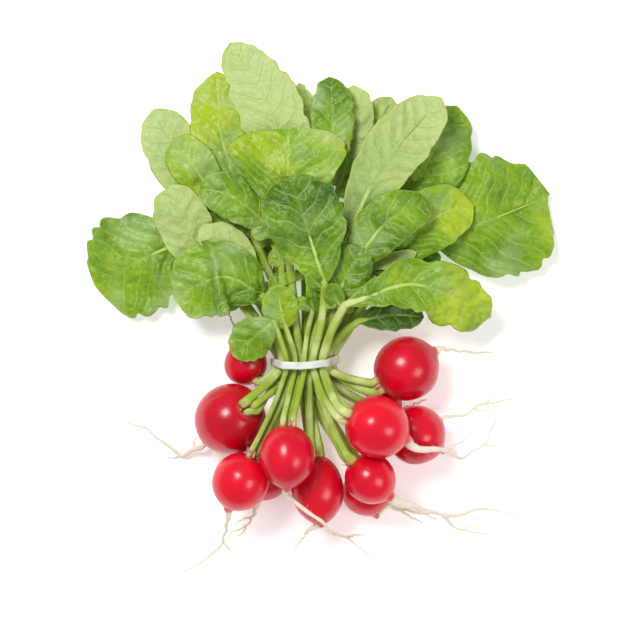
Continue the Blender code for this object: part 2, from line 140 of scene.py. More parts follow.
# name: radish, row and place in the band, stem radius, half width of the blade, where it is widest, fold,
# blade base, middle and tip. The order is the order in which they lie, lowest first.
LEAVES = {
    "leaf_far_right": ("radish_right", 0, 3, 1.9, 32, 0.48, -0.06, (64, 60, 16), (94, 71, 17), (123, 83, 5)),
    "leaf_under_right": (
        "radish_small_tucked", 0, 4, 1.5, 20, 0.5, 0.06, (28, 50, 9), (44, 84, 10), (52, 112, 4)),
    "leaf_upper_left": (
        "radish_under_left", 0, 0, 1.7, 14, 0.6, 0.1, (-42, 62, 11), (-62, 98, 14), (-77, 127, 6)),
    "leaf_under_left": (
        "radish_under_right", 0, 1, 1.7, 19, 0.5, 0.06, (-20, 52, 8), (-32, 84, 10), (-36, 112, 5)),
    "leaf_top_sliver": (
        "radish_under_right", 0, 2, 1.4, 6, 0.5, 0.2, (-1, 100, 12), (-1, 122, 14), (-3, 140, 12)),
    "leaf_far_left": (
        "radish_beside_band_left", 1, 0, 1.5, 27, 0.5, -0.04, (-58, 61, 15), (-82, 51, 14), (-106, 37, 3)),
    "leaf_top_left": (
        "radish_bottom_centre", 1, 2, 1.9, 15, 0.6, 0.1, (-27, 66, 18), (-41, 110, 20), (-45, 145, 12)),
    "leaf_small_round": (
        "radish_left_large", 1, 1, 1.5, 11.5, 0.6, 0.1, (-40, 72, 20), (-53, 94, 22), (-66, 111, 18)),
    "leaf_back_right": (
        "radish_beside_band_right", 1, 5, 1.9, 19, 0.5, -0.06, (46, 68, 16), (62, 100, 20), (76, 129, 12)),
    "leaf_top_right_small": (
        "radish_right", 1, 4, 1.5, 10, 0.55, 0.1, (24, 88, 20), (34, 114, 22), (44, 132, 20)),
    "leaf_top_pale_tip": (
        "radish_front_right_low", 1, 3, 1.5, 9.5, 0.55, 0.2, (18, 92, 22), (25, 120, 25), (25, 138, 22)),
    "leaf_left_pale": (
        "radish_beside_band_left", 2, 0, 1.5, 14, 0.55, 0.08, (-42, 42, 22), (-58, 64, 24), (-67, 88, 16)),
    "leaf_right_pale": (
        "radish_beside_band_right", 2, 6, 1.9, 15.5, 0.55, 0.08, (42, 48, 24), (63, 70, 27), (84, 79, 22)),
    "leaf_top_tall": (
        "radish_under_left", 2, 2, 1.9, 16.5, 0.45, 0.12, (-10, 78, 26), (-15, 120, 28), (-37, 160, 18)),
    "leaf_top_dark_tip": (
        "radish_bottom_centre", 2, 3, 1.9, 11, 0.6, 0.15, (12, 84, 26), (14, 116, 30), (13, 142, 26)),
    "leaf_left_tucked": (
        "radish_left_large", 2, 1, 1.3, 9, 0.5, 0.1, (-24, 46, 24), (-38, 59, 26), (-53, 65, 24)),
    "leaf_thin_right": (
        "radish_front_right_high", 2, 5, 1.2, 4, 0.5, 0.2, (28, 47, 26), (42, 50, 28), (56, 54, 25)),
    "leaf_long_rolled": (
        "radish_front_right_low", 2, 4, 1.9, 15, 0.6, 0.12, (20, 56, 30), (38, 96, 36), (68, 131, 30)),
    "leaf_left_oval": (
        "radish_front_left", 3, 1, 1.6, 11.5, 0.5, 0.1, (-16, 66, 32), (-36, 82, 34), (-53, 86, 30)),
    "leaf_folded_wide": (
        "radish_front_centre", 3, 2, 1.9, 29, 0.66, 0.04, (-9, 68, 32), (-8, 92, 38), (-8, 116, 36)),
    "leaf_right_pointed": (
        "radish_bottom_centre", 3, 3, 1.9, 13, 0.45, 0.1, (24, 48, 34), (42, 70, 38), (63, 78, 34)),
    "leaf_lower_left": (
        "radish_left_large", 3, 0, 1.8, 19, 0.5, 0.02, (-20, 32, 27), (-40, 42, 30), (-66, 32, 22)),
    "leaf_lower_right_shaded": (
        "radish_beside_band_right", 3, 5, 1.7, 8, 0.5, 0.08, (27, 20, 24), (44, 23, 25), (60, 22, 20)),
    "leaf_right_serrated": (
        "radish_front_right_high", 3, 4, 1.6, 11, 0.55, 0.1, (15, 26, 27), (20, 41, 32), (29, 57, 33)),
    "leaf_small_triangle": (
        "radish_front_centre", 4, 2, 1.2, 4.5, 0.4, 0.1, (5, 28, 30), (5, 36, 34), (3, 43, 37)),
    "leaf_small_heart": (
        "radish_front_centre", 4, 1, 1.2, 9.5, 0.4, 0.08, (-9, 16, 29), (-12, 27, 33), (-13, 38, 36)),
    "leaf_centre_dark": (
        "radish_front_right_high", 4, 3, 1.7, 20, 0.55, 0.08, (10, 38, 34), (2, 64, 44), (-7, 92, 46)),
    "leaf_small_serrated": (
        "radish_front_left", 4, 0, 1.2, 10.5, 0.45, 0.06, (-15, 20, 29), (-25, 12, 30), (-36, 3, 28)),
    "leaf_right_arching": (
        "radish_front_right_high", 4, 4, 1.9, 14.5, 0.62, 0.05, (20, 28, 32), (56, 38, 38), (93, 21, 24)),
}

# radish: side roots that leave its taproot, as routes with their first radius
BRANCHES = {
    "radish_left_large": (
        (0.7, ((-56, -44.5, 6.2), (-56, -41, 7), (-54.5, -38.8, 7.5), (-52.5, -38.6, 7))),
        (0.6, ((-63, -48, 2.6), (-67, -49.5, 1.2), (-70, -49, 0.7))),
    ),
    "radish_under_left": (
        (0.7, ((-29.5, -83.5, 1.8), (-31, -87, 1), (-34, -89.5, 0.6))),
        (0.6, ((-26.5, -79.5, 2.8), (-31, -80.5, 1.4), (-36, -83.5, 0.6))),
        (0.5, ((-33, -85.8, 1.2), (-37.5, -87.5, 0.8), (-41.5, -92, 0.6))),
    ),
    "radish_front_right_low": (
        (1.2, ((70, -78.5, 8), (76, -78.6, 4.2), (82, -77.2, 1.8), (88.5, -75.6, 1.1), (95, -75.4, 0.9),
               (101, -77.5, 0.8), (106.5, -79.5, 0.7), (111, -81.7, 0.6))),
        (0.5, ((80, -86.3, 1.4), (84, -84.5, 0.8), (89, -84.6, 0.6))),
    ),
    "radish_front_right_high": (
        (0.9, ((66, -44.2, 34.5), (73, -43.4, 24), (79, -41, 10), (84, -38, 3), (89, -36.2, 1.1),
               (93, -36, 0.7))),
        (0.5, ((91, -42.5, 1.4), (96, -43.5, 0.8), (99.5, -41.5, 0.6))),
    ),
    "radish_right": (
        (0.6, ((90, -22.5, 1.2), (93.5, -20.5, 0.9), (96, -16.5, 0.6))),
        (0.5, ((86, -24.8, 1.6), (92, -25.5, 0.8), (98, -23.5, 0.6))),
    ),
    "radish_front_left": (
        (0.6, ((-41.7, -91.5, 6), (-38.5, -95.5, 2.2), (-37, -99, 0.7))),
    ),
    "radish_front_centre": (
        (0.6, ((22, -90, 1.5), (27, -88.6, 0.9), (31, -89.5, 0.6))),
    ),
    "radish_under_right": (
        (0.7, ((48, -75.5, 3.6), (54, -79.5, 1.4), (60, -82.5, 0.7))),
    ),
}

# leaf: how bright its green is at the base and at the tip, whether its pale underside shows,
# and the depth of its teeth, scallops and waves in mm. The brightness is partly each leaf's own green
# and partly painted shade, where a leaf lies in the shade of those above it.
LOOKS = {
    "leaf_far_right": (0.34, 0.62, False, 0.5, 2.6, 3.0),
    "leaf_under_right": (0.2, 0.3, False, 0.3, 1.4, 1.6),
    "leaf_upper_left": (0.7, 1.0, True, 0.0, 0.8, 1.0),
    "leaf_under_left": (0.2, 0.5, False, 0.3, 1.2, 1.2),
    "leaf_top_sliver": (0.6, 0.85, True, 0.9, 1.6, 1.0),
    "leaf_far_left": (0.3, 0.6, False, 0.5, 2.8, 2.4),
    "leaf_top_left": (0.5, 1.0, False, 0.2, 1.2, 1.6),
    "leaf_small_round": (0.6, 0.66, False, 0.0, 0.4, 0.9),
    "leaf_back_right": (0.42, 0.4, False, 0.2, 1.0, 1.4),
    "leaf_top_right_small": (0.8, 0.9, True, 0.3, 1.2, 1.0),
    "leaf_top_pale_tip": (0.7, 0.8, True, 0.0, 0.6, 0.8),
    "leaf_left_pale": (0.6, 0.75, True, 0.1, 0.6, 1.6),
    "leaf_right_pale": (0.42, 0.72, False, 0.0, 0.5, 1.2),
    "leaf_top_tall": (0.7, 1.0, True, 0.8, 1.4, 1.2),
    "leaf_top_dark_tip": (0.5, 0.34, False, 1.0, 0.9, 1.0),
    "leaf_left_tucked": (0.7, 0.9, True, 0.3, 0.9, 0.9),
    "leaf_thin_right": (0.65, 0.7, True, 0.2, 0.2, 0.3),
    "leaf_long_rolled": (0.1, 0.9, True, 0.2, 0.9, 1.6),
    "leaf_left_oval": (0.5, 0.45, False, 0.2, 0.6, 0.9),
    "leaf_folded_wide": (0.36, 0.72, False, 0.3, 1.4, 1.8),
    "leaf_right_pointed": (0.45, 0.36, False, 0.2, 0.5, 0.9),
    "leaf_lower_left": (0.25, 0.6, False, 0.2, 1.4, 1.8),
    # Painted shade: this leaf lies under the arching one beside it, so its green is set darkest.
    "leaf_lower_right_shaded": (0.0, 0.02, False, 0.3, 0.8, 0.6),
    "leaf_right_serrated": (0.36, 0.2, False, 1.0, 0.6, 0.8),
    "leaf_small_triangle": (0.5, 0.55, False, 0.3, 0.2, 0.3),
    "leaf_small_heart": (0.5, 0.6, False, 0.3, 0.4, 0.6),
    # Painted shade: the dark green towards the tip stands in for the shade over the leaf's upper part.
    "leaf_centre_dark": (0.42, 0.08, False, 0.3, 1.6, 1.8),
    "leaf_small_serrated": (0.3, 0.4, False, 0.9, 0.6, 0.7),
    "leaf_right_arching": (0.4, 0.78, False, 0.5, 2.2, 2.2),
}

# radish: how bright its red is
RIPENESS = {
    "radish_left_large": 0.3, "radish_back_left": 0.15, "radish_right_upper": 0.0, "radish_front_left": 0.75,
    "radish_front_centre": 0.65, "radish_front_right_high": 0.8, "radish_front_right_low": 0.7,
    "radish_right": 0.6, "radish_bottom_centre": 0.6, "radish_under_right": 0.65,
}

VEIN_SPACING = 9.0  # mm between a leaf's side veins
SQUARE_CM_IN_SQUARE_M = 1e4
ROOTLET_LENGTH, ROOTLET_THICKNESS, BRISTLE_THICKNESS = 2.2, 0.12, 0.09  # mm
TABLE_EASE = 0.6  # mm above the table within which a surface is eased upwards
FOREST, GRASS, LIME = "#3C6C06", "#82AE1B", "#BBD22C"
UNDERSIDE, UNDERSIDE_VEIN, TOP_VEIN = "#C9DC94", "#8FB348", "#C3DC74"
# The first of these is painted sheen, a pale grey-green laid over the leaves' tops in place of their soft
# highlights.
PAINTED_SHEEN, RIM = "#B4CE86", "#CCE066"
# Of the stalk colours, the pale one is painted highlight and the deep one is painted shade.
STEM_GREEN, STEM_HIGHLIGHT, STEM_SHADE = "#ABC443", "#DBE79C", "#678C1C"
CHERRY, SCARLET, GARNET, BLUSH, CREAM = "#B2031C", "#F00A2C", "#6E0310", "#EF9C88", "#F3E6D2"


def unit(vector):
    vector = np.asarray(vector, float)
    return vector / np.linalg.norm(vector)


def smooth_route(points, count):
    """Evenly spaced points along a Catmull-Rom curve through the given points."""
    points = np.asarray(points, float)
    padded = np.vstack([2 * points[0] - points[1], points, 2 * points[-1] - points[-2]])
    t = np.linspace(0, 1, 12, endpoint=False)[:, None]
    pieces = []
    for a, b, c, d in zip(padded, padded[1:], padded[2:], padded[3:]):
        pieces.append(
            0.5 * (2 * b + (c - a) * t + (2 * a - 5 * b + 4 * c - d) * t**2 + (3 * b - a - 3 * c + d) * t**3)
        )
    curve = np.vstack(pieces + [points[-1:]])
    along = np.concatenate([[0], np.cumsum(np.linalg.norm(np.diff(curve, axis=0), axis=1))])
    wanted = np.linspace(0, along[-1], count)
    return np.stack([np.interp(wanted, along, curve[:, axis]) for axis in range(3)], axis=1)


def radish_axis(radish):
    return -unit(RADISHES[radish][3])


def radish_sweep(radish):
    """Centres and radii of the rings from crown to taproot tip."""
    centre, radius, half, _, root, tail = RADISHES[radish]
    axis = radish_axis(radish)
    body = [np.array(centre) + axis * half * s for s in RADISH_RINGS]
    body_radii = [radius * math.sqrt(1 - s * s) for s in RADISH_RINGS]
    tail_route = smooth_route([body[-1], *tail], 2 + 2 * len(tail))[1:]
    share = np.linspace(0, 1, len(tail_route) + 1)[1:]
    tail_radii = 0.5 + (root - 0.5) * (1 - share) ** 1.6
    return np.vstack([body, tail_route]), np.concatenate([body_radii, tail_radii])


def ring_sweep(points, radii, sides):
    """Vertex rings square to a route, carried along it without twist."""
    tangents = np.gradient(points, axis=0)
    tangents /= np.linalg.norm(tangents, axis=1)[:, None]
    across = unit(np.cross(tangents[0], (0.3, 0.2, 1)))
    rings = []
    for point, tangent, radius in zip(points, tangents, radii):
        across = unit(across - tangent * across.dot(tangent))
        up = np.cross(tangent, across)
        turns = np.linspace(0, 2 * math.pi, sides, endpoint=False)[:, None]
        rings.append(point + radius * (np.cos(turns) * across + np.sin(turns) * up))
    return np.array(rings)


def slot_of(row, place):
    """Where a stem passes through the band: the rows are packed like a pile of pipes."""
    count = SLOTS_IN_ROW[row]
    return np.array(((place - (count - 1) / 2) * SLOT_PITCH, 0, LOWEST_ROW + row * ROW_PITCH))


def leaf_route(leaf):
    """Stations from the band to the leaf's tip, and how far along the blade each is, below 0 on the stem."""
    _, row, place, _, _, _, _, base, middle, tip = LEAVES[leaf]
    slot = slot_of(row, place)
    base = np.array(base, float)
    entry, leaving = slot - (0, STRAIGHT, 0), slot + (0, STRAIGHT, 0)
    fan = slot + (0.35 * slot[0], 10, 0.4)
    stem_stations = 3 + int(np.linalg.norm(base - slot) / 22)
    start = unit(np.array(middle) - base)
    stem = np.vstack([[entry], smooth_route([leaving, fan, base - start * 4, base], stem_stations - 1)])
    blade = smooth_route([base, middle, tip], 8)
    along = np.concatenate([np.linspace(-1, 0, stem_stations)[:-1], np.linspace(0, 1, 8)])
    return np.vstack([stem[:-1], blade]), along


def blade_half_width(leaf, t):
    """Half width at a share t of the blade's length, which is greatest at the leaf's widest place."""
    _, _, _, stem, half, widest, *_ = LEAVES[leaf]
    if t <= 0:
        return stem
    bend = math.log(0.5) / math.log(widest)
    shape = math.sin(math.pi * min(t, 0.985) ** bend) ** ROUNDNESS
    return max(stem * (1 - t), half * shape, 0.9)


def half_thickness(leaf, t):
    stem = LEAVES[leaf][3]
    if t <= 0:
        return stem * STEM_FLATNESS
    return BLADE_HALF_THICKNESS + (stem - BLADE_HALF_THICKNESS) * max(0, 1 - 2.2 * t) ** 2


def leaf_loops(leaf, points, along):
    """Eight points round each station: an oval on the stem, flattening into the folded blade."""
    fold = LEAVES[leaf][6]
    tangents = np.gradient(points, axis=0)
    turns = np.radians((180, 135, 90, 45, 0, -45, -90, -135))
    loops = []
    for point, tangent, t in zip(points, tangents, along):
        tangent = unit(tangent)
        across = unit(np.cross(tangent, (0, 0, 1)))
        up = np.cross(across, tangent)
        blade = min(1, max(0, t * 4))
        width = blade_half_width(leaf, t)
        thick = half_thickness(leaf, t)
        side = width * np.cos(turns)[:, None]
        rise = thick * np.sin(turns)[:, None] + fold * blade * np.abs(side)
        loops.append(point + side * across + rise * up)
    return np.array(loops)


def dense(loops):
    """Points spread over a sweep's skin, as (station share, points)."""
    steps = 9
    closed = np.concatenate([loops, loops[:, :1]], axis=1)
    t = np.arange(steps)[:, None, None, None] / steps
    lengthwise = (closed[None, :-1] * (1 - t) + closed[None, 1:] * t).transpose(1, 0, 2, 3)
    lengthwise = lengthwise.reshape(-1, closed.shape[1], 3)
    share = (np.arange(len(closed) - 1)[:, None] + np.arange(steps)[None] / steps).reshape(-1)
    lengthwise = np.vstack([lengthwise, closed[-1:]])
    share = np.append(share, len(closed) - 1)
    u = np.arange(steps)[None, None, :, None] / steps
    around = lengthwise[:, :-1, None] * (1 - u) + lengthwise[:, 1:, None] * u
    return share, around.reshape(len(share), -1, 3)


class Pile:
    """How high the things laid so far reach, on a grid of square cells."""

    CELL = 0.9
    HALF = 170

    def __init__(self):
        size = 2 * int(self.HALF / self.CELL)
        self.top = np.zeros((size, size))

    def cells(self, points):
        index = np.floor((points[..., :2] + self.HALF) / self.CELL).astype(int)
        return index[..., 0], index[..., 1]

    def add(self, points):
        np.maximum.at(self.top, self.cells(points), points[..., 2])

    def shortfall(self, points, gap):
        """How much each row of points would have to rise to clear the pile."""
        needed = self.top[self.cells(points)] + gap - points[..., 2]
        return np.maximum(needed.max(axis=1), 0)


def lifts_for(pile, loops, points):
    """The rise of each station that lays a leaf on the pile with no slope over STEEPEST."""
    share, skin = dense(loops)
    needed = pile.shortfall(skin, STACK_GAP)
    lifts = np.zeros(len(points))
    np.maximum.at(lifts, np.floor(share).astype(int), needed)
    np.maximum.at(lifts, np.ceil(share).astype(int), needed)
    along = np.concatenate([[0], np.cumsum(np.linalg.norm(np.diff(points[:, :2], axis=0), axis=1))])
    reach = lifts[None, :] - STEEPEST * np.abs(along[:, None] - along[None, :])
    return np.maximum(reach.max(axis=1), 0)


def stack_leaves():
    """Lays the leaves on each other. Returns each one's loops from the band on, the first at its slot."""
    pile = Pile()
    for radish in RADISHES:
        points, radii = radish_sweep(radish)
        pile.add(dense(ring_sweep(points, radii, RADISH_SIDES))[1])
    stacked = {}
    for leaf in LEAVES:
        points, along = leaf_route(leaf)
        loops = leaf_loops(leaf, points, along)
        rise = lifts_for(pile, loops, points)
        loops[..., 2] += rise[:, None]
        points[:, 2] += rise
        pile.add(dense(loops)[1])
        stacked[leaf] = (points, loops)
    return stacked


def crown_places(radish):
    """Starting points of a radish's stems, side by side just off its crown."""
    centre, _, half, crown, _, _ = RADISHES[radish]
    crown = unit(crown)
    own = [leaf for leaf in LEAVES if LEAVES[leaf][0] == radish]
    start = np.array(centre) + crown * (half + CROWN_ROOM)
    side = unit(np.cross(crown, (0, 0, 1)))
    over = np.cross(side, crown)
    spread = {1: 0, 2: 2.4, 3: 2.8, 4: 3.5}[len(own)]
    slots = {leaf: slot_of(*LEAVES[leaf][1:3]) for leaf in own}
    middle = sum(slots.values()) / len(own)
    angles = {leaf: math.atan2((slots[leaf] - middle)[2], (slots[leaf] - middle).dot(side)) for leaf in own}
    ordered = sorted(own, key=angles.get)
    first = angles[ordered[0]]
    places = {}
    for number, leaf in enumerate(ordered):
        turn = first + 2 * math.pi * number / len(own)
        places[leaf] = start + spread * (math.cos(turn) * side + math.sin(turn) * over)
    return places


def first_chain(start, leaving, slot):
    """A curve that leaves the crown square to it and meets the band along the stems."""
    reach = 0.45 * np.linalg.norm(slot - start)
    t = np.linspace(0, 1, CHAIN)[:, None]
    a, b, c, d = start, start + leaving * reach, slot - (0, reach, 0), slot
    return a * (1 - t) ** 3 + 3 * b * t * (1 - t) ** 2 + 3 * c * t**2 * (1 - t) + d * t**3


def push_from_radishes(chains, radii, owners):
    for number, radish in enumerate(RADISHES):
        centre, radius, half, _, _, _ = RADISHES[radish]
        axis = radish_axis(radish)
        room = radii[:, None] + GAP * 0.6
        offset = chains - np.array(centre)
        along = offset @ axis
        aside = np.linalg.norm(offset - along[..., None] * axis, axis=2)
        depth = np.sqrt((along / (half + room)) ** 2 + (aside / (radius + room)) ** 2)
        inside = depth < 1
        inside[owners == number, :2] = False
        chains += np.where(inside, 1 / np.maximum(depth, 0.3) - 1, 0)[..., None] * offset


def push_apart(chains, radii):
    leaves, count, _ = chains.shape
    flat = chains.reshape(-1, 3)
    owner = np.repeat(np.arange(leaves), count)
    room = np.repeat(radii, count)
    difference = flat[:, None] - flat[None]
    distance = np.linalg.norm(difference, axis=2) + 1e-6
    wanted = room[:, None] + room[None] + GAP
    close = (distance < wanted) & (owner[:, None] != owner[None])
    push = np.where(close, (wanted - distance) / distance * 0.25, 0)[..., None] * difference
    chains += push.sum(axis=1).reshape(chains.shape)


def settle_stems(stacked):
    """Routes of all stems from crown to band, clear of each other, the radishes and the table."""
    names = list(LEAVES)
    radii = np.array([LEAVES[leaf][3] for leaf in names])
    owners = np.array([list(RADISHES).index(LEAVES[leaf][0]) for leaf in names])
    places = {}
    for radish in RADISHES:
        places.update(crown_places(radish))
    chains = []
    for leaf in names:
        leaving = unit(RADISHES[LEAVES[leaf][0]][3])
        chains.append(first_chain(places[leaf], leaving, stacked[leaf][0][0]))
    chains = np.array(chains)
    fixed = chains[:, [0, 1, -2, -1]].copy()
    for step in range(420):
        ease = 0.3 if step < 300 else 0.08
        middle = (chains[:, :-2] + chains[:, 2:]) / 2
        chains[:, 1:-1] += ease * (middle - chains[:, 1:-1])
        push_apart(chains, radii)
        push_from_radishes(chains, radii, owners)
        chains[..., 2] = np.maximum(chains[..., 2], radii[:, None] + 0.5)
        chains[:, [0, 1, -2, -1]] = fixed
    return dict(zip(names, chains))


def band_outline(stacked, room):
    """Corners of a loop drawn tight round the stems, across them; the slant along the stems is added by the
    callers.
    """
    turns = np.linspace(0, 2 * math.pi, BAND_TURNS, endpoint=False)
    slots = [
        (point[0], point[2], LEAVES[leaf][3]) for leaf, (points, _) in stacked.items() for point in points[:2]
    ]

    def reach(angle):
        return max(x * math.cos(angle) + z * math.sin(angle) + radius for x, z, radius in slots) + room

    corners = []
    for angle in turns:
        slope = (reach(angle + 0.02) - reach(angle - 0.02)) / 0.04
        x = reach(angle) * math.cos(angle) - slope * math.sin(angle)
        z = reach(angle) * math.sin(angle) + slope * math.cos(angle)
        corners.append((x, z))
    return np.array(corners)


# Finer shapes


def interp_rows(wanted, along, rows):
    return np.stack([np.interp(wanted, along, rows[:, axis]) for axis in range(3)], axis=-1)


def frames_of(points):
    """Tangent, sideways and upward directions at each point of a route that never stands upright."""
    tangents = np.gradient(points, axis=0)
    tangents /= np.linalg.norm(tangents, axis=1)[:, None]
    across = np.cross(tangents, (0, 0, 1))
    across /= np.linalg.norm(across, axis=1)[:, None]
    return tangents, across, np.cross(across, tangents)


def waves(t, seed, turns=(1, 2.3, 3.7)):
    """A gentle irregular wave between about -1 and 1, the same on every run."""
    return sum(math.sin(0.7 + seed * 1.7 + k) ** 2 * np.sin(2 * math.pi * t * turn + seed * (1.3 + k))
               for k, turn in enumerate(turns)) / 1.5


def grown_width(leaf, t, side, seed):
    """Half width of the blade at each t on one side, with its scallops and teeth."""
    _, _, _, teeth, lobes, _ = LOOKS[leaf]
    half = LEAVES[leaf][4]
    width = np.array([blade_half_width(leaf, 0.98 * value) for value in t])
    grown = np.clip(t / 0.25, 0, 1)
    count = 3.2 + half * 0.07
    phase = t * count + 0.35 * side + 0.3 * waves(t, seed + side) + seed * 0.37
    scallop = np.abs(np.sin(math.pi * phase)) ** 0.9 - 0.66
    lobed = lobes * (1.25 * scallop + 0.4 * waves(t, seed + side * 0.9, (1.3, 2.1, 3.1)))
    saw = (t * max(7, half * 0.7) + 0.3 * side + 0.15 * waves(t, seed)) % 1
    toothed = teeth * (saw**1.5 - 0.4)
    tip = 0.9
    end = np.sqrt(np.clip(1 - np.clip((t - tip) / (1 - tip), 0, 1) ** 2, 0.0015, 1))
    grown_out = np.pad(np.maximum(width + (lobed + toothed) * grown, 0.3) * end, 1, "edge")
    return (grown_out[:-2] + 2 * grown_out[1:-1] + grown_out[2:]) / 4


def blade_grid(leaf, route, seed):
    """Top and under sheets of a blade as rows of points, with the patterns that its material reads."""
    fold = LEAVES[leaf][6]
    tone_base, tone_tip, turned, _, _, wave = LOOKS[leaf]
    length = np.linalg.norm(np.diff(route, axis=0), axis=1).sum()
    half = LEAVES[leaf][4]
    rows = int(np.clip(length / 0.9, 30, 110))
    columns = int(np.clip(half * 2 / 0.9, 16, 72)) | 1
    t = 1 - (1 - np.linspace(0, 1, rows)) ** 1.25
    v = np.linspace(-1, 1, columns)
    v = np.sign(v) * np.abs(v) ** 0.9
    base = np.linspace(0, 1, len(route))
    _, across, up = frames_of(route)
    left = grown_width(leaf, t, -1, seed)
    right = grown_width(leaf, t, 1, seed)
    width = np.where(v[None] < 0, left[:, None], right[:, None])
    x = v[None] * width
    forward = 0.3 * np.abs(v[None]) ** 1.6 * width / length * np.sqrt(1 - t[:, None])
    s = np.clip(t[:, None] + forward, 0, 1)
    along_mm = s * length
    wobble = (1.4 * np.sin(0.21 * x + 0.13 * along_mm + seed)
              + 0.8 * np.sin(0.37 * x - 0.2 * along_mm + 2 * seed))
    rib = along_mm - 0.85 * np.abs(x) + wobble * np.clip(np.abs(x) / 6, 0, 1)
    rise = fold * np.clip(t[:, None] * 4, 0, 1) * (np.sqrt(x * x + 4) - 2)
    grown = np.clip(t[:, None] / 0.2, 0, 1)
    rim = np.abs(v[None]) ** 2.2
    side = np.sign(v[None])
    rise = rise + wave * grown * rim * np.sin(2 * math.pi * s * (length / 26) + side * 1.2 + seed)
    rise = rise + 0.45 * wave * grown * np.sin(0.12 * x + 0.1 * along_mm + seed * 2.1)
    rise = rise + 0.3 * wave * grown * np.sin(0.2 * x - 0.16 * along_mm + seed * 1.3)
    edge = np.clip((width - np.abs(x)) / 3, 0, 1)
    quilt = np.sin(math.pi * rib / VEIN_SPACING) ** 2
    relief = 0.9 * quilt * np.clip(np.abs(x) / 3, 0, 1) * edge
    crinkle = (np.sin(0.75 * x + 1.3 * np.sin(0.4 * along_mm + seed))
               * np.sin(0.62 * along_mm + 1.1 * np.sin(0.5 * x)))
    relief = relief + 0.3 * crinkle * edge * grown
    groove = 0.55 * np.exp(-((x / 1.1) ** 2)) * (1 - s)
    flip = -1 if turned else 1
    rise = rise + flip * (relief - groove)
    centre = interp_rows(s, base, route)
    sideways = interp_rows(s, base, across)
    upward = interp_rows(s, base, up)
    middle = centre + x[..., None] * sideways + rise[..., None] * upward
    thick = (0.1 + 0.12 * edge)[..., None]
    top = middle + thick * upward
    under = middle - thick * upward
    to_margin = np.minimum(width * (1 - np.abs(v[None])), (1 - s) * length)
    # Part of this tone is painted shade, taken from the leaf's brightness at its base and tip.
    tone = tone_base + (tone_tip - tone_base) * np.clip((s - 0.1) / 0.75, 0, 1)
    marks = {"across": x, "rib": rib, "margin": to_margin, "along": along_mm, "share": s, "tone": tone}
    return top, under, marks, (rows, columns)


def blade_rings(top, under, marks, shape, turned):
    """One closed ring of points for each row: over the top sheet and back under it."""
    rows, columns = shape
    rings = np.concatenate([top, under[:, -2:0:-1]], axis=1)
    values = {name: np.concatenate([grid, grid[:, -2:0:-1]], axis=1) for name, grid in marks.items()}
    below = np.concatenate([np.zeros((rows, columns)), np.ones((rows, columns - 2))], axis=1)
    values["under"] = 1 - below if turned else below
    return rings, values


def add_leaflets(skin, leaf, stem, seed):
    """The small lobes that a radish leaf carries in pairs along its stalk, below the blade."""
    _, across, _ = frames_of(stem)
    run = np.concatenate([[0], np.cumsum(np.linalg.norm(np.diff(stem, axis=0), axis=1))])
    tone = LOOKS[leaf][0]
    left = run[-1] - 4
    number = 0
    while left > 26 and number < 4:
        place = int(np.searchsorted(run, left))
        side = 1 if number % 2 else -1
        onward = unit(stem[min(place + 1, len(stem) - 1)] - stem[place - 1])
        out = unit(across[place] * side + onward * (0.7 + 0.3 * math.sin(seed + number)))
        reach = 13 - 1.6 * number + 2.5 * math.sin(seed * 2.3 + number)
        half = reach * 0.33
        flat = unit(np.cross(out, (0, 0, 1)))
        t = np.linspace(0, 1, 16)
        v = np.linspace(-1, 1, 11)
        wide = half * np.sin(math.pi * np.clip(t, 0.02, 0.985) ** 1.3) ** 0.6 + 0.15 * np.sin(14 * t + seed)
        x = v[None] * np.maximum(wide, 0.1)[:, None]
        rise = (1.6 * np.sin(2.6 * t[:, None] + 0.4 * number) + 0.12 * x**2 / half
                + 0.3 * np.sin(9 * t[:, None] + x))
        middle = stem[place] + (t * reach)[:, None, None] * out + x[..., None] * flat \
            + (rise - 0.4)[..., None] * np.array((0, 0, 1))
        middle[..., 2] = np.maximum(middle[..., 2], 0.6)
        across_mm = x + 0 * t[:, None]
        marks = {"across": across_mm, "rib": t[:, None] * reach * 1.6 - np.abs(x),
                 "along": t[:, None] * reach + 0 * x,
                 "margin": np.maximum(wide, 0.1)[:, None] - np.abs(x), "share": t[:, None] + 0 * x,
                 "tone": 0.8 * tone + 0.05 * number + 0 * x}
        lift = np.array((0, 0, 0.15))
        rings, values = blade_rings(middle + lift, middle - lift, marks, (16, 11), False)
        skin.add(rings[:, ::-1], {name: grid[:, ::-1] for name, grid in values.items()})
        left -= 8 + 2.5 * math.sin(seed + number * 1.7)
        number += 1


def stem_rings(route, radii, sides, groove=0.16):
    """A stem's skin: an oval with fine ridges and a shallow channel along its upper side."""
    _, across, up = frames_of(route)
    turns = np.linspace(0, 2 * math.pi, sides, endpoint=False)
    away = np.abs((turns - math.pi / 2 + math.pi) % (2 * math.pi) - math.pi)
    shape = 1 - groove * np.exp(-((away / 0.5) ** 2)) + 0.045 * np.cos(turns * 7)
    ring_x = np.cos(turns) * shape
    ring_z = np.sin(turns) * shape * STEM_FLATNESS
    offsets = ring_x[None, :, None] * across[:, None] + ring_z[None, :, None] * up[:, None]
    return route[:, None] + radii[:, None, None] * offsets, turns


def evenly(points, step):
    return smooth_route(points, max(4, int(np.linalg.norm(np.diff(points, axis=0), axis=1).sum() / step)))


def above_table(points):
    """Points in the frame's mm, with what would dip under the table eased up to lie just above it."""
    height = points[:, 2]
    eased = TABLE_EASE * np.exp(np.minimum(height, TABLE_EASE) / TABLE_EASE - 1)
    points[:, 2] = np.where(height < TABLE_EASE, eased, height)
    return points


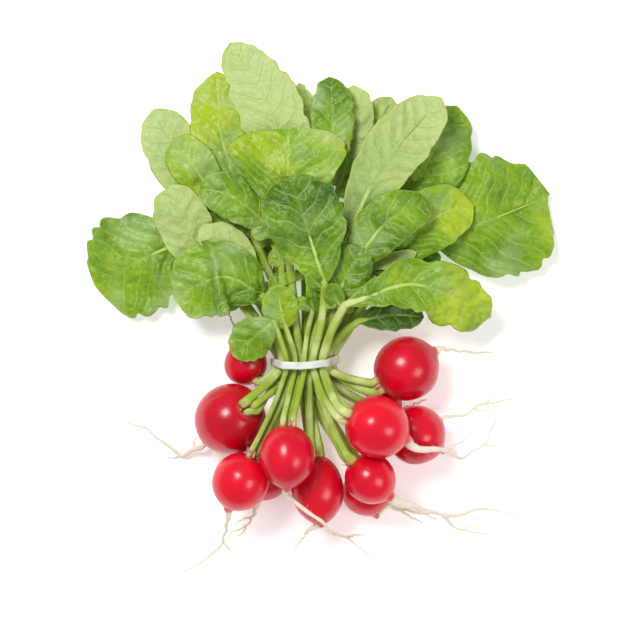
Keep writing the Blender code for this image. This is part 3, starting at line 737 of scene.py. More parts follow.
class Skin:
    """Collects swept rings and the named values on their points, for one mesh."""

    def __init__(self):
        self.points, self.faces, self.slots, self.values, self.count = [], [], [], {}, 0

    def add(self, rings, values=None, slot=0, closed=False):
        sides = rings.shape[1]
        flat = rings.reshape(-1, 3)
        for face in skin_faces(len(rings), sides, closed):
            self.faces.append(tuple(corner + self.count for corner in face))
            self.slots.append(slot)
        for name in set(self.values) | set(values or {}):
            stored = self.values.setdefault(name, [np.zeros(self.count)])
            given = (values or {}).get(name)
            stored.append(np.zeros(len(flat)) if given is None else np.asarray(given, float).reshape(-1))
        self.points.append(flat)
        self.count += len(flat)

    def build(self, name, materials, shift):
        mesh = bpy.data.meshes.new(name)
        points = np.vstack(self.points) + shift
        points = above_table(points) * MM
        mesh.from_pydata(points.tolist(), [], self.faces)
        for material in materials:
            mesh.materials.append(material)
        mesh.polygons.foreach_set("material_index", self.slots)
        mesh.polygons.foreach_set("use_smooth", [True] * len(mesh.polygons))
        for mark, parts in self.values.items():
            layer = mesh.attributes.new(mark, "FLOAT", "POINT")
            layer.data.foreach_set("value", np.concatenate(parts).astype(np.float32))
        mesh.update()
        thing = bpy.data.objects.new(name, mesh)
        bpy.context.collection.objects.link(thing)
        return thing


def skin_faces(rings, sides, closed):
    """Quads between neighbouring rings, and a cap on each end unless the sweep closes on itself."""
    faces = []
    for ring in range(rings if closed else rings - 1):
        following = (ring + 1) % rings
        for side in range(sides):
            beside = (side + 1) % sides
            faces.append((ring * sides + side, ring * sides + beside,
                          following * sides + beside, following * sides + side))
    if not closed:
        faces.append(tuple(reversed(range(sides))))
        faces.append(tuple(range((rings - 1) * sides, rings * sides)))
    return faces


class Layout:
    """Where everything lies, worked out once and shared by the operators."""

    done = None

    def __init__(self):
        self.stacked = stack_leaves()
        self.chains = settle_stems(self.stacked)
        outline = band_outline(self.stacked, BAND_ROOM + BAND_THICKNESS)
        low = np.array(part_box("rubber_band")[0]) / MM
        own = np.array((outline[:, 0].min(), (BAND_SLANT * outline[:, 0]).min() - BAND_WIDTH / 2,
                        outline[:, 1].min()))
        self.shift = low - own

    @classmethod
    def get(cls):
        if cls.done is None:
            cls.done = cls()
        return cls.done


# Materials


def linear(text):
    """An sRGB hex colour as linear values with full alpha."""
    channels = [int(text[k:k + 2], 16) / 255 for k in (1, 3, 5)]
    return tuple(c / 12.92 if c <= 0.04045 else ((c + 0.055) / 1.055) ** 2.4 for c in channels) + (1,)


def node(tree, kind, settings=None, inputs=None):
    """Adds a node, sets its properties, and fills each input with a value or a link from a socket."""
    made = tree.nodes.new(kind)
    for name, value in (settings or {}).items():
        setattr(made, name, value)
    for key, value in (inputs or {}).items():
        if isinstance(value, bpy.types.NodeSocket):
            tree.links.new(value, made.inputs[key])
        else:
            made.inputs[key].default_value = value
    return made


def new_material(name):
    material = bpy.data.materials.new(name)
    material.use_nodes = True
    material.node_tree.nodes.clear()
    return material, material.node_tree


def mark(tree, name):
    return node(tree, "ShaderNodeAttribute", {"attribute_name": name}).outputs["Fac"]


def maths(tree, operation, first, second=0.5, third=0.5, clamp=False):
    made = node(tree, "ShaderNodeMath", {"operation": operation, "use_clamp": clamp},
                {0: first, 1: second, 2: third})
    return made.outputs[0]


def remap(tree, value, low, high, to_low=0.0, to_high=1.0):
    made = node(tree, "ShaderNodeMapRange", {"interpolation_type": "SMOOTHSTEP"},
                {"Value": value, "From Min": low, "From Max": high, "To Min": to_low, "To Max": to_high})
    return made.outputs["Result"]


def mix(tree, factor, first, second, blend="MIX"):
    made = node(tree, "ShaderNodeMix", {"data_type": "RGBA", "blend_type": blend},
                {0: factor, 6: first, 7: second})
    return made.outputs[2]


def noise(tree, vector, per_mm, detail=3.0, roughness=0.5):
    made = node(tree, "ShaderNodeTexNoise", None,
                {"Vector": vector, "Scale": per_mm / MM, "Detail": detail, "Roughness": roughness})
    return made.outputs["Fac"]


def own_space(tree):
    return node(tree, "ShaderNodeTexCoord").outputs["Object"]


def finish_surface(tree, shader):
    node(tree, "ShaderNodeOutputMaterial", None, {"Surface": shader})


def leaf_blade_material(settings):
    """Radish leaf: a thin soft blade, waxy and fresh on top with patches of painted pale sheen, paler and
    matt beneath, with side veins.
    """
    material, tree = new_material("radish_leaf_blade")
    space = own_space(tree)
    tone, under, margin = mark(tree, "tone"), mark(tree, "under"), mark(tree, "margin")
    across, rib, along, share = (mark(tree, name) for name in ("across", "rib", "along", "share"))
    blotch = noise(tree, space, 0.05, 3.0)
    fine = noise(tree, space, 0.35, 4.0, 0.6)
    shade = maths(tree, "MULTIPLY_ADD", maths(tree, "SUBTRACT", blotch, 0.5), 1.3, tone)
    shade = maths(tree, "MULTIPLY_ADD", maths(tree, "SUBTRACT", fine, 0.5), 0.6, shade, True)
    darker_half = maths(tree, "MULTIPLY", shade, 2.0, clamp=True)
    dark_to_mid = mix(tree, darker_half, settings["forest"], settings["grass"])
    bright = remap(tree, shade, 0.45, 0.95)
    top = mix(tree, bright, dark_to_mid, settings["lime"])
    # Painted sheen: a pale grey-green lies in patches a few centimetres wide over the tops, in place of the
    # leaves' soft highlights, less on the darkest leaves.
    bloom = remap(tree, noise(tree, space, 0.035, 2.0), 0.46, 0.7, 0.0, 0.65)
    top = mix(tree, maths(tree, "MULTIPLY", bloom, remap(tree, tone, 0.1, 0.4)), top, settings["bloom"])
    # Side veins stand 9 mm apart, and each is about half a millimetre wide, thinner towards the margin.
    to_vein = maths(tree, "PINGPONG", rib, VEIN_SPACING / 2)
    vein = maths(tree, "MULTIPLY", remap(tree, to_vein, 0.6, 0.12), remap(tree, margin, 0.5, 5.0))
    midrib = maths(tree, "MULTIPLY", remap(tree, maths(tree, "ABSOLUTE", across), 1.0, 0.3),
                   remap(tree, share, 1.0, 0.2))
    # The net of the smallest veins has meshes of about 4 mm, and the blade puckers between them.
    plane = node(tree, "ShaderNodeCombineXYZ", None, {0: across, 1: along, 2: tone}).outputs[0]
    drift = node(tree, "ShaderNodeTexNoise", None, {"Vector": plane, "Scale": 0.4, "Detail": 3.0})
    bent = node(tree, "ShaderNodeVectorMath", {"operation": "ADD"}, {
        0: plane, 1: drift.outputs["Color"]})
    net = node(tree, "ShaderNodeTexVoronoi", {"feature": "DISTANCE_TO_EDGE"},
               {"Vector": bent.outputs[0], "Scale": 1 / 4.2})
    pucker = remap(tree, net.outputs["Distance"], 0.0, 0.35)
    mesh_line = remap(tree, net.outputs["Distance"], 0.08, 0.0)
    veins = maths(tree, "MAXIMUM", vein, midrib)
    lines = maths(tree, "MAXIMUM", maths(tree, "MULTIPLY", veins, 0.46),
                  maths(tree, "MULTIPLY", mesh_line, 0.1))
    top = mix(tree, lines, top, settings["top_vein"])
    top = mix(tree, remap(tree, margin, 0.9, 0.1, 0.0, 0.5), top, settings["rim"])
    pale = mix(tree, maths(tree, "MULTIPLY_ADD", tone, 0.7, maths(tree, "MULTIPLY", blotch, 0.5), True), top,
               settings["underside"])
    netted = maths(tree, "MAXIMUM", maths(tree, "MULTIPLY", veins, 0.4),
                   maths(tree, "MULTIPLY", mesh_line, 0.3))
    pale = mix(tree, netted, pale, settings["underside_vein"])
    beneath = mix(tree, remap(tree, margin, 1.2, 0.1, 0.0, 0.8), pale, settings["rim"])
    colour = mix(tree, under, top, beneath)
    relief = maths(tree, "MULTIPLY_ADD", pucker, 0.8, maths(tree, "MULTIPLY", fine, 0.7))
    height = maths(tree, "MULTIPLY_ADD", vein, -0.5, relief)
    bump = node(tree, "ShaderNodeBump", None, {"Strength": 0.6, "Distance": 0.5 * MM, "Height": height})
    rough = node(tree, "ShaderNodeMapRange", None,
                 {"Value": maths(tree, "ADD", under, maths(tree, "MULTIPLY", fine, 0.3)),
                  "From Max": 1.3, "To Min": 0.36, "To Max": 0.58}).outputs[0]
    skin = node(tree, "ShaderNodeBsdfPrincipled", None,
                {"Base Color": colour, "Roughness": rough, "IOR": 1.45, "Normal": bump.outputs[0]})
    glow = mix(tree, 0.6, colour, settings["lime"])
    through = node(tree, "ShaderNodeBsdfTranslucent", None, {"Color": glow})
    both = node(tree, "ShaderNodeMixShader", None, {0: 0.18, 1: skin.outputs[0], 2: through.outputs[0]})
    finish_surface(tree, both.outputs[0])
    return material


def leaf_stem_material(settings):
    """Radish leaf stalk: juicy ribbed tissue with a thin cuticle, paler and pinkish at the crown. Its darker
    streaks along the fibres are painted shade of the furrows, and its pale patches are painted highlight.
    """
    material, tree = new_material("radish_leaf_stalk")
    space = own_space(tree)
    around, length = mark(tree, "around"), mark(tree, "length")
    fibres = node(tree, "ShaderNodeCombineXYZ", None,
                  {0: maths(tree, "MULTIPLY", around, 7.0),
                   1: maths(tree, "MULTIPLY", length, 0.045)}).outputs[0]
    streak = node(tree, "ShaderNodeTexNoise", None,
                  {"Vector": fibres, "Scale": 1.6, "Detail": 4.0}).outputs["Fac"]
    # Painted highlight: pale patches about two centimetres wide stand in for the gloss on the stalks.
    highlight_patch = noise(tree, space, 0.06, 3.0)
    # Painted shade: the darker streaks along the fibres stand in for the shade in the stalk's furrows.
    colour = mix(tree, remap(tree, streak, 0.3, 0.55), settings["stem_deep"], settings["stem_green"])
    colour = mix(tree, remap(tree, highlight_patch, 0.42, 0.7, 0.0, 0.85), colour, settings["stem_pale"])
    colour = mix(tree, remap(tree, mark(tree, "blade"), 0.0, 1.0, 0.0, 0.8), colour, settings["top_vein"])
    near_crown = remap(tree, length, 6.0, 0.0, 0.0, 0.35)
    colour = mix(tree, near_crown, colour, settings["blush"])
    bump = node(tree, "ShaderNodeBump", None, {"Strength": 0.7, "Distance": 0.3 * MM, "Height": streak})
    skin = node(tree, "ShaderNodeBsdfPrincipled", None,
                {"Base Color": colour, "Roughness": 0.3, "IOR": 1.45, "Subsurface Weight": 0.12,
                 "Subsurface Radius": (0.6, 1.0, 0.25), "Subsurface Scale": 1.5 * MM,
                 "Normal": bump.outputs[0]})
    finish_surface(tree, skin.outputs[0])
    return material


def radish_skin_material(settings):
    """Radish: taut wet-looking red skin over white flesh, fading to a cream taproot with dry wrinkles."""
    material, tree = new_material("radish_skin_fresh")
    space = own_space(tree)
    root, crown, ripeness = mark(tree, "root"), mark(tree, "crown"), mark(tree, "tone")
    cloud = noise(tree, space, 0.045, 3.0)
    speck = noise(tree, space, 0.9, 4.0, 0.7)
    shade = maths(tree, "MULTIPLY_ADD", maths(tree, "SUBTRACT", cloud, 0.5), 1.2, ripeness, True)
    red = mix(tree, shade, settings["cherry"], settings["scarlet"])
    red = mix(tree, remap(tree, speck, 0.62, 0.78, 0.0, 0.25), red, settings["garnet"])
    # Old leaf scars and dry tissue ring the crown for the first few millimetres.
    tissue = noise(tree, space, 0.5, 5.0, 0.7)
    scar = maths(tree, "MULTIPLY", crown, remap(tree, tissue, 0.35, 0.6))
    red = mix(tree, scar, red, settings["blush"])
    # The red breaks up into streaks where the skin turns into the taproot.
    ragged = maths(tree, "ADD", root, maths(tree, "MULTIPLY", maths(tree, "SUBTRACT", speck, 0.5), 0.45))
    colour = mix(tree, remap(tree, ragged, 0.12, 0.5), red, settings["blush"])
    colour = mix(tree, remap(tree, ragged, 0.45, 0.95), colour, settings["cream"])
    grime = noise(tree, space, 0.28, 4.0, 0.65)
    dirt = maths(tree, "MULTIPLY", remap(tree, root, 0.5, 1.0), remap(tree, grime, 0.55, 0.8, 0.0, 0.3))
    colour = mix(tree, dirt, colour, linear("#A98560"))
    wrinkles = maths(tree, "MULTIPLY", root, grime)
    rough_parts = maths(tree, "ADD", wrinkles, maths(tree, "MULTIPLY", scar, 0.6))
    height = maths(tree, "MULTIPLY_ADD", speck, 0.12, rough_parts)
    bump = node(tree, "ShaderNodeBump", None, {"Strength": 0.5, "Distance": 0.4 * MM, "Height": height})
    rough = remap(tree, maths(tree, "ADD", root, crown), 0.0, 0.8, 0.26, 0.6)
    skin = node(tree, "ShaderNodeBsdfPrincipled", None,
                {"Base Color": colour, "Roughness": rough, "IOR": 1.45, "Subsurface Weight": 0.1,
                 "Subsurface Radius": (1.0, 0.2, 0.15), "Subsurface Scale": 2 * MM,
                 "Coat Weight": 0.1, "Coat Roughness": 0.15, "Normal": bump.outputs[0]})
    finish_surface(tree, skin.outputs[0])
    return material


def rootlet_material(settings):
    """Fine side roots: dry, cream to tan threads."""
    material, tree = new_material("radish_rootlet")
    tint = noise(tree, own_space(tree), 0.2, 3.0)
    colour = mix(tree, remap(tree, tint, 0.4, 0.7), settings["cream"], linear("#D9BC98"))
    skin = node(tree, "ShaderNodeBsdfPrincipled", None, {"Base Color": colour, "Roughness": 0.7})
    finish_surface(tree, skin.outputs[0])
    return material


def crown_scale_material():
    """Dry leaf bases at a radish's crown: papery, pinkish and fibrous."""
    material, tree = new_material("dry_leaf_base")
    space = own_space(tree)
    fibre = noise(tree, space, 1.2, 4.0, 0.7)
    colour = mix(tree, remap(tree, fibre, 0.35, 0.7), linear("#B96A55"), linear("#E9C3A4"))
    bump = node(tree, "ShaderNodeBump", None, {"Strength": 0.6, "Distance": 0.3 * MM, "Height": fibre})
    skin = node(tree, "ShaderNodeBsdfPrincipled", None,
                {"Base Color": colour, "Roughness": 0.75, "Normal": bump.outputs[0]})
    finish_surface(tree, skin.outputs[0])
    return material


def bristle_material():
    """Bristles on leaf stalks: stiff, colourless plant hairs."""
    material, tree = new_material("plant_bristle")
    tint = noise(tree, own_space(tree), 0.3, 2.0)
    colour = mix(tree, tint, linear("#DDE8C2"), linear("#F2F5E4"))
    skin = node(tree, "ShaderNodeBsdfPrincipled", None, {"Base Color": colour, "Roughness": 0.45})
    finish_surface(tree, skin.outputs[0])
    return material


def rubber_material(settings):
    """Natural rubber band: cut from a thin tube, whitened with filler, with a dusty satin surface."""
    material, tree = new_material("white_natural_rubber")
    space = own_space(tree)
    # Greyer patches of dust on the rubber.
    bloom = noise(tree, space, 0.15, 3.0)
    grain = noise(tree, space, 2.5, 3.0)
    colour = mix(tree, remap(tree, bloom, 0.35, 0.7), settings["rubber"], linear("#C5CBBB"))
    bump = node(tree, "ShaderNodeBump", None, {"Strength": 0.4, "Distance": 0.12 * MM, "Height": grain})
    skin = node(tree, "ShaderNodeBsdfPrincipled", None,
                {"Base Color": colour, "Roughness": 0.5, "IOR": 1.52, "Subsurface Weight": 0.15,
                 "Subsurface Radius": (1.0, 1.0, 1.0), "Subsurface Scale": 1 * MM, "Normal": bump.outputs[0]})
    finish_surface(tree, skin.outputs[0])
    return material


# Geometry Nodes


def hair_tree():
    """Scatters short bent hairs over a mesh, each square to the skin, and leaves only the hairs."""
    tree = bpy.data.node_groups.new("Plant hairs", "GeometryNodeTree")
    face = tree.interface
    face.new_socket("Geometry", in_out="INPUT", socket_type="NodeSocketGeometry")
    face.new_socket("Hairs per square cm", in_out="INPUT", socket_type="NodeSocketFloat")
    face.new_socket("Hair length", in_out="INPUT", socket_type="NodeSocketFloat")
    face.new_socket("Hair thickness", in_out="INPUT", socket_type="NodeSocketFloat")
    face.new_socket("Seed", in_out="INPUT", socket_type="NodeSocketInt")
    face.new_socket("Material", in_out="INPUT", socket_type="NodeSocketMaterial")
    face.new_socket("Geometry", in_out="OUTPUT", socket_type="NodeSocketGeometry")
    given = node(tree, "NodeGroupInput").outputs
    density = node(tree, "ShaderNodeMath", {"operation": "MULTIPLY"},
                   {0: given["Hairs per square cm"], 1: SQUARE_CM_IN_SQUARE_M})
    scatter = node(tree, "GeometryNodeDistributePointsOnFaces", None,
                   {"Mesh": given["Geometry"], "Density": density.outputs[0], "Seed": given["Seed"]})
    spine = node(tree, "GeometryNodeCurvePrimitiveLine", {"mode": "DIRECTION"},
                 {"Direction": (0, 0, 1), "Length": given["Hair length"]})
    spine = node(tree, "GeometryNodeResampleCurve", None, {"Curve": spine.outputs[0], "Count": 5})
    share = node(tree, "GeometryNodeSplineParameter").outputs["Factor"]
    bend = node(tree, "ShaderNodeMath", {"operation": "MULTIPLY"},
                {0: maths(tree, "POWER", share, 2.0), 1: maths(tree, "MULTIPLY", given["Hair length"], 0.35)})
    offset = node(tree, "ShaderNodeCombineXYZ", None, {0: bend.outputs[0]})
    bent = node(tree, "GeometryNodeSetPosition", None,
                {"Geometry": spine.outputs[0], "Offset": offset.outputs[0]})
    taper = maths(tree, "SUBTRACT", 1.0, maths(tree, "MULTIPLY", share, 0.85))
    tapered = node(tree, "GeometryNodeSetCurveRadius", None, {"Curve": bent.outputs[0], "Radius": taper})
    profile = node(tree, "GeometryNodeCurvePrimitiveCircle", None,
                   {"Resolution": 4, "Radius": maths(tree, "MULTIPLY", given["Hair thickness"], 0.5)})
    hair = node(tree, "GeometryNodeCurveToMesh", None,
                {"Curve": tapered.outputs[0], "Profile Curve": profile.outputs[0], "Fill Caps": True})
    if "Scale" in hair.inputs:
        tree.links.new(taper, hair.inputs["Scale"])
    size = node(tree, "FunctionNodeRandomValue", {"data_type": "FLOAT"},
                {2: 0.5, 3: 1.2, "Seed": given["Seed"]})
    spread = node(tree, "GeometryNodeInstanceOnPoints", None,
                  {"Points": scatter.outputs["Points"], "Instance": hair.outputs[0],
                   "Rotation": scatter.outputs["Rotation"], "Scale": size.outputs[1]})
    real = node(tree, "GeometryNodeRealizeInstances", None, {"Geometry": spread.outputs[0]})
    dressed = node(tree, "GeometryNodeSetMaterial", None,
                   {"Geometry": real.outputs[0], "Material": given["Material"]})
    node(tree, "NodeGroupOutput", None, {"Geometry": dressed.outputs[0]})
    return tree


def grow_hairs(carrier, name, inputs):
    """Replaces a carrier mesh with the hairs that the tree grows on it."""
    tree = bpy.data.node_groups.get("Plant hairs") or hair_tree()
    modifier = carrier.modifiers.new("hairs", "NODES")
    modifier.node_group = tree
    sockets = {item.name: item.identifier for item in tree.interface.items_tree if item.in_out == "INPUT"}
    for label, value in inputs.items():
        modifier[sockets[label]] = value
    bpy.context.view_layer.update()
    graph = bpy.context.evaluated_depsgraph_get()
    mesh = bpy.data.meshes.new_from_object(carrier.evaluated_get(graph))
    mesh.name = name
    corners = np.empty(len(mesh.vertices) * 3, np.float32)
    mesh.vertices.foreach_get("co", corners)
    corners = above_table(corners.reshape(-1, 3) / MM) * MM
    mesh.vertices.foreach_set("co", corners.reshape(-1).astype(np.float32))
    if not len(mesh.materials):
        mesh.materials.append(inputs["Material"])
    hairs = bpy.data.objects.new(name, mesh)
    bpy.context.collection.objects.link(hairs)
    bpy.data.objects.remove(carrier)
    return hairs


# Pieces


def radish_profile(radish):
    """Route, radii and marks of a radish from crown to root tip, fine enough for a close look."""
    centre, radius, half, _, root, tail = RADISHES[radish]
    seed = list(RADISHES).index(radish)
    axis = radish_axis(radish)
    turn = np.linspace(0.09, math.pi - 0.24, 62)
    s = -np.cos(turn)
    body = np.array(centre) + axis * (half * s)[:, None]
    plump = 1 + 0.045 * np.cos(turn) + 0.02 * np.sin(2 * turn + seed)
    pointed = 0.92 + 0.34 * np.clip((s - 0.15) / 0.85, 0, 1)
    girth = np.minimum(np.sin(turn) ** pointed * plump, np.sin(turn) + 0.1 / radius) * radius
    ease = 1.3 * root * np.clip((s - 0.6) / 0.4, 0, 1)
    girth = (girth**4 + ease**4) ** 0.25
    dip = np.clip((-s - 0.9) / 0.1, 0, 1) ** 2 * 1.4
    body = body + axis * dip[:, None]
    route = smooth_route([body[-1], *tail], 40 + 14 * len(tail))[1:]
    share = np.linspace(0, 1, len(route) + 1)[1:]
    thin = 0.34 + (root * 1.06 - 0.34) * (1 - share) ** 1.6
    start = girth[-1]
    blend = np.exp(-share * len(tail) * 2.2)
    thin = thin + (start - thin[0]) * blend
    thin = thin * (1 + 0.09 * waves(share, seed, (5, 9, 14)))
    points = np.vstack([body, route])
    radii = np.concatenate([girth, thin])
    wander = 0.35 * np.clip(share * 8, 0, 1) * np.clip((1 - share) * 8, 0, 1)
    points[len(body):, 0] += wander * np.sin(share * 31 + seed)
    points[len(body):, 1] += wander * np.cos(share * 23 + seed)
    rooted = np.concatenate([np.clip((s - 0.93) / 0.07, 0, 1) * 0.5,
                             np.clip(0.55 + share * len(tail) * 2.2, 0, 1)])
    crowned = np.concatenate([np.clip((-s - 0.955) / 0.04, 0, 1), 0 * share])
    return points, radii, rooted, crowned


def lumpy(rings, points, seed, rooted):
    """Gives a sweep's rings the slight lumps of a grown thing."""
    sides = rings.shape[1]
    turns = np.linspace(0, 2 * math.pi, sides, endpoint=False)[None]
    along = np.linspace(0, 1, len(rings))[:, None]
    lumps = 0.008 * np.sin(3 * turns + seed + 5 * along) + 0.006 * np.sin(5 * turns - seed + 9 * along)
    wrinkle = 0.05 * rooted[:, None] * np.sin(2 * turns + 60 * along + seed)
    return points[:, None] + (rings - points[:, None]) * (1 + lumps + wrinkle)[..., None]


def add_branches(skin, radish):
    for number, (start, points) in enumerate(BRANCHES.get(radish, ())):
        route = evenly(np.array(points, float), 0.8)
        share = np.linspace(0, 1, len(route))
        wander = 0.25 * np.sin(share * 19 + number) * np.sin(share * math.pi)
        route[:, 1] += wander
        radii = 0.22 + (start - 0.22) * (1 - share) ** 1.3
        rings = ring_sweep(route, radii, 10)
        skin.add(rings, {"root": np.ones(rings.shape[:2]), "tone": np.ones(rings.shape[:2])})


class RadishSettings(bpy.types.PropertyGroup):
    """Colours of the radishes."""

    cherry: bpy.props.StringProperty(name="Cherry", description="Deeper red of the skin", default=CHERRY)
    scarlet: bpy.props.StringProperty(name="Scarlet", description="Brighter red of the skin", default=SCARLET)
    garnet: bpy.props.StringProperty(name="Garnet", description="Dark flecks in the skin", default=GARNET)
    blush: bpy.props.StringProperty(name="Blush", description="Pink where red meets root", default=BLUSH)
    cream: bpy.props.StringProperty(name="Cream", description="Colour of the taproots", default=CREAM)
    sides: bpy.props.IntProperty(
        name="Sides", description="Points round a radish", default=72, min=16, max=160)
    rootlets: bpy.props.FloatProperty(
        name="Rootlets", description="Fine hairs for each square centimetre of taproot", default=16,
        min=0, max=80)


class LeafSettings(bpy.types.PropertyGroup):
    """Colours and hairs of the leaves."""

    forest: bpy.props.StringProperty(name="Forest", description="Darkest leaf green", default=FOREST)
    grass: bpy.props.StringProperty(name="Grass", description="Middle leaf green", default=GRASS)
    lime: bpy.props.StringProperty(name="Lime", description="Brightest leaf green", default=LIME)
    underside: bpy.props.StringProperty(name="Underside", description="Pale underside", default=UNDERSIDE)
    underside_vein: bpy.props.StringProperty(name="Underside vein", description="Veins below",
                                             default=UNDERSIDE_VEIN)
    top_vein: bpy.props.StringProperty(name="Top vein", description="Veins above", default=TOP_VEIN)
    # Painted sheen laid in pale patches over the leaves' tops.
    bloom: bpy.props.StringProperty(name="Painted sheen", description="Painted sheen in patches above", default=PAINTED_SHEEN)
    rim: bpy.props.StringProperty(name="Rim", description="Thin bright margin", default=RIM)
    stem_green: bpy.props.StringProperty(name="Stem green", description="Leaf stalks", default=STEM_GREEN)
    # Painted highlight on the stalks, and below it painted shade in streaks along them.
    stem_pale: bpy.props.StringProperty(
        name="Stem highlight", description="Painted highlight in patches on stalks", default=STEM_HIGHLIGHT)
    stem_deep: bpy.props.StringProperty(name="Stem shade", description="Painted shade in streaks along stalks", default=STEM_SHADE)
    stem_swell: bpy.props.FloatProperty(
        name="Stem swell", description="Drawn stalk width over the solid's", default=1.12, min=0.8, max=1.4)
    bristles: bpy.props.FloatProperty(
        name="Bristles", description="Hairs for each square centimetre of stalk", default=9, min=0, max=60)
    bristle_length: bpy.props.FloatProperty(
        name="Bristle length", description="Length of a hair", default=0.0009, min=0, unit="LENGTH",
        subtype="DISTANCE")


class BandSettings(bpy.types.PropertyGroup):
    """The rubber band."""

    rubber: bpy.props.StringProperty(name="Rubber", description="Colour of the band", default="#E3E6DF")
    turns: bpy.props.IntProperty(
        name="Turns", description="Steps round the band", default=220, min=40, max=600)


class StageSettings(bpy.types.PropertyGroup):
    """Floor, lights and camera."""

    view_width: bpy.props.FloatProperty(
        name="View width", description="Width seen at the bunch", default=0.32, min=0.1, unit="LENGTH",
        subtype="DISTANCE")
    camera_height: bpy.props.FloatProperty(
        name="Camera height", description="Height of the camera", default=1.5, min=0.3, unit="LENGTH",
        subtype="DISTANCE")
    softbox_power: bpy.props.FloatProperty(
        name="Softbox power", description="Power of the main light", default=12.0, min=0, unit="POWER")
    sky_strength: bpy.props.FloatProperty(name="Sky", description="Light from all round", default=0.34, min=0)


def palette(*groups):
    """The colours of some property groups, by name, in linear values."""
    found = {}
    for group in groups:
        for name in group.__annotations__:
            value = getattr(group, name)
            if isinstance(value, str):
                found[name] = linear(value)
    return found


class RADISHES_OT_radishes(bpy.types.Operator):
    """Add the radishes with their taproots and side roots"""

    bl_idname = "radishes.radishes"
    bl_label = "Radishes"

    def execute(self, context):
        settings = context.scene.radish_settings
        layout = Layout.get()
        colours = palette(settings)
        material = radish_skin_material(colours)
        carriers = Skin()
        for number, radish in enumerate(RADISHES):
            points, radii, rooted, crowned = radish_profile(radish)
            rings = lumpy(ring_sweep(points, radii, settings.sides), points, number, rooted)
            ripeness = RIPENESS.get(radish, 0.4)
            spread = np.ones(rings.shape[:2])
            values = {"root": rooted[:, None] * spread, "crown": crowned[:, None] * spread,
                      "tone": ripeness * spread}
            skin = Skin()
            skin.add(rings, values)
            add_branches(skin, radish)
            piece = skin.build(radish + "_skin", [material], layout.shift)
            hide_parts(radish)
            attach(piece, "root")
            tail = radii < RADISHES[radish][4] * 1.3
            carriers.add(ring_sweep(points[tail][4:], radii[tail][4:], 8))
        carrier = carriers.build("taproot_carrier", [], layout.shift)
        hairs = grow_hairs(carrier, "fine_rootlets",
                           {"Hairs per square cm": settings.rootlets, "Hair length": ROOTLET_LENGTH * MM,
                            "Hair thickness": ROOTLET_THICKNESS * MM, "Seed": 3,
                            "Material": rootlet_material(colours)})
        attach(hairs, "root")
        return {"FINISHED"}


def crown_scales(skin, radish, seed):
    """Short dry leaf bases standing round a radish's crown."""
    centre, radius, half, crown, _, _ = RADISHES[radish]
    crown = unit(crown)
    side = unit(np.cross(crown, (0.2, 0.1, 1)))
    over = np.cross(side, crown)
    for number in range(9):
        turn = number * 2.4 + seed
        out = math.cos(turn) * side + math.sin(turn) * over
        flat = np.cross(crown, out)
        reach = 2.6 + 1.5 * math.sin(seed + number * 1.9) ** 2
        foot = np.array(centre) + crown * half * 0.955 + out * radius * 0.24
        rows = []
        for share in np.linspace(0, 1, 7):
            middle = foot + crown * reach * share + out * (0.5 + 0.9 * math.sin(number)) * share**2
            width = 1.25 * (1 - share) ** 0.7 + 0.12
            rows.append([middle - flat * width, middle + out * 0.18,
                         middle + flat * width, middle - out * 0.18])
        skin.add(np.array(rows))


class RADISHES_OT_crowns(bpy.types.Operator):
    """Add the dry leaf bases at the radishes' crowns"""

    bl_idname = "radishes.crowns"
    bl_label = "Crowns"

    def execute(self, context):
        skin = Skin()
        for number, radish in enumerate(RADISHES):
            crown_scales(skin, radish, number)
        piece = skin.build("dry_crown_scales", [crown_scale_material()], Layout.get().shift)
        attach(piece, "root")
        return {"FINISHED"}


def finer(grid):
    """A grid of points with one more halfway between each two neighbours, both ways."""
    for _ in range(2):
        between = np.empty((2 * len(grid) - 1, *grid.shape[1:]))
        between[::2] = grid
        between[1::2] = (grid[1:] + grid[:-1]) / 2
        grid = between.swapaxes(0, 1)
    return grid


def settle_blade(pile, leaf, stem, route, seed):
    """Raises a finely drawn leaf towards clearing those below. Returns its stem and blade routes.

    It doesn't know of the small lobes on the stalks, so those can still meet other leaves.
    """
    thick = LEAVES[leaf][3]
    hang = (1.1 if LOOKS[leaf][2] else 2.0) * thick
    side = np.array((thick, 0, 0))
    kernel = np.hanning(9) / np.hanning(9).sum()
    for _ in range(5):
        _, under, marks, _ = blade_grid(leaf, route, seed)
        low = under.copy()
        low[..., 2] -= hang * (1 - marks["share"]) ** 1.5 * (np.abs(marks["across"]) < thick)
        needed = pile.shortfall(low, 0.45)
        centre = np.vstack([stem, route[1:]])
        along = np.concatenate([[0], np.cumsum(np.linalg.norm(np.diff(centre[:, :2], axis=0), axis=1))])
        at_route = along[len(stem) - 1:]
        t = 1 - (1 - np.linspace(0, 1, len(needed))) ** 1.25
        at_rows = np.interp(t, np.linspace(0, 1, len(at_route)), at_route)
        tube = np.stack([stem - side, stem, stem + side], axis=1) - (0, 0, thick)
        stem_needed = pile.shortfall(tube, 0.1) * np.clip((along[: len(stem)] - 14) / 10, 0, 1)
        wanted = np.concatenate([stem_needed, needed])
        places = np.concatenate([along[: len(stem)], at_rows])
        rise = np.maximum((wanted[None] - 0.7 * np.abs(along[:, None] - places[None])).max(axis=1), 0)
        rise *= np.clip(along / 12, 0, 1)
        rise = np.convolve(np.pad(rise, 4, "edge"), kernel, "valid")
        rise[:2] = 0
        lifted = centre + np.stack([0 * rise, 0 * rise, rise], axis=1)
        stem, route = lifted[: len(stem)], lifted[len(stem) - 1:]
    return stem, route


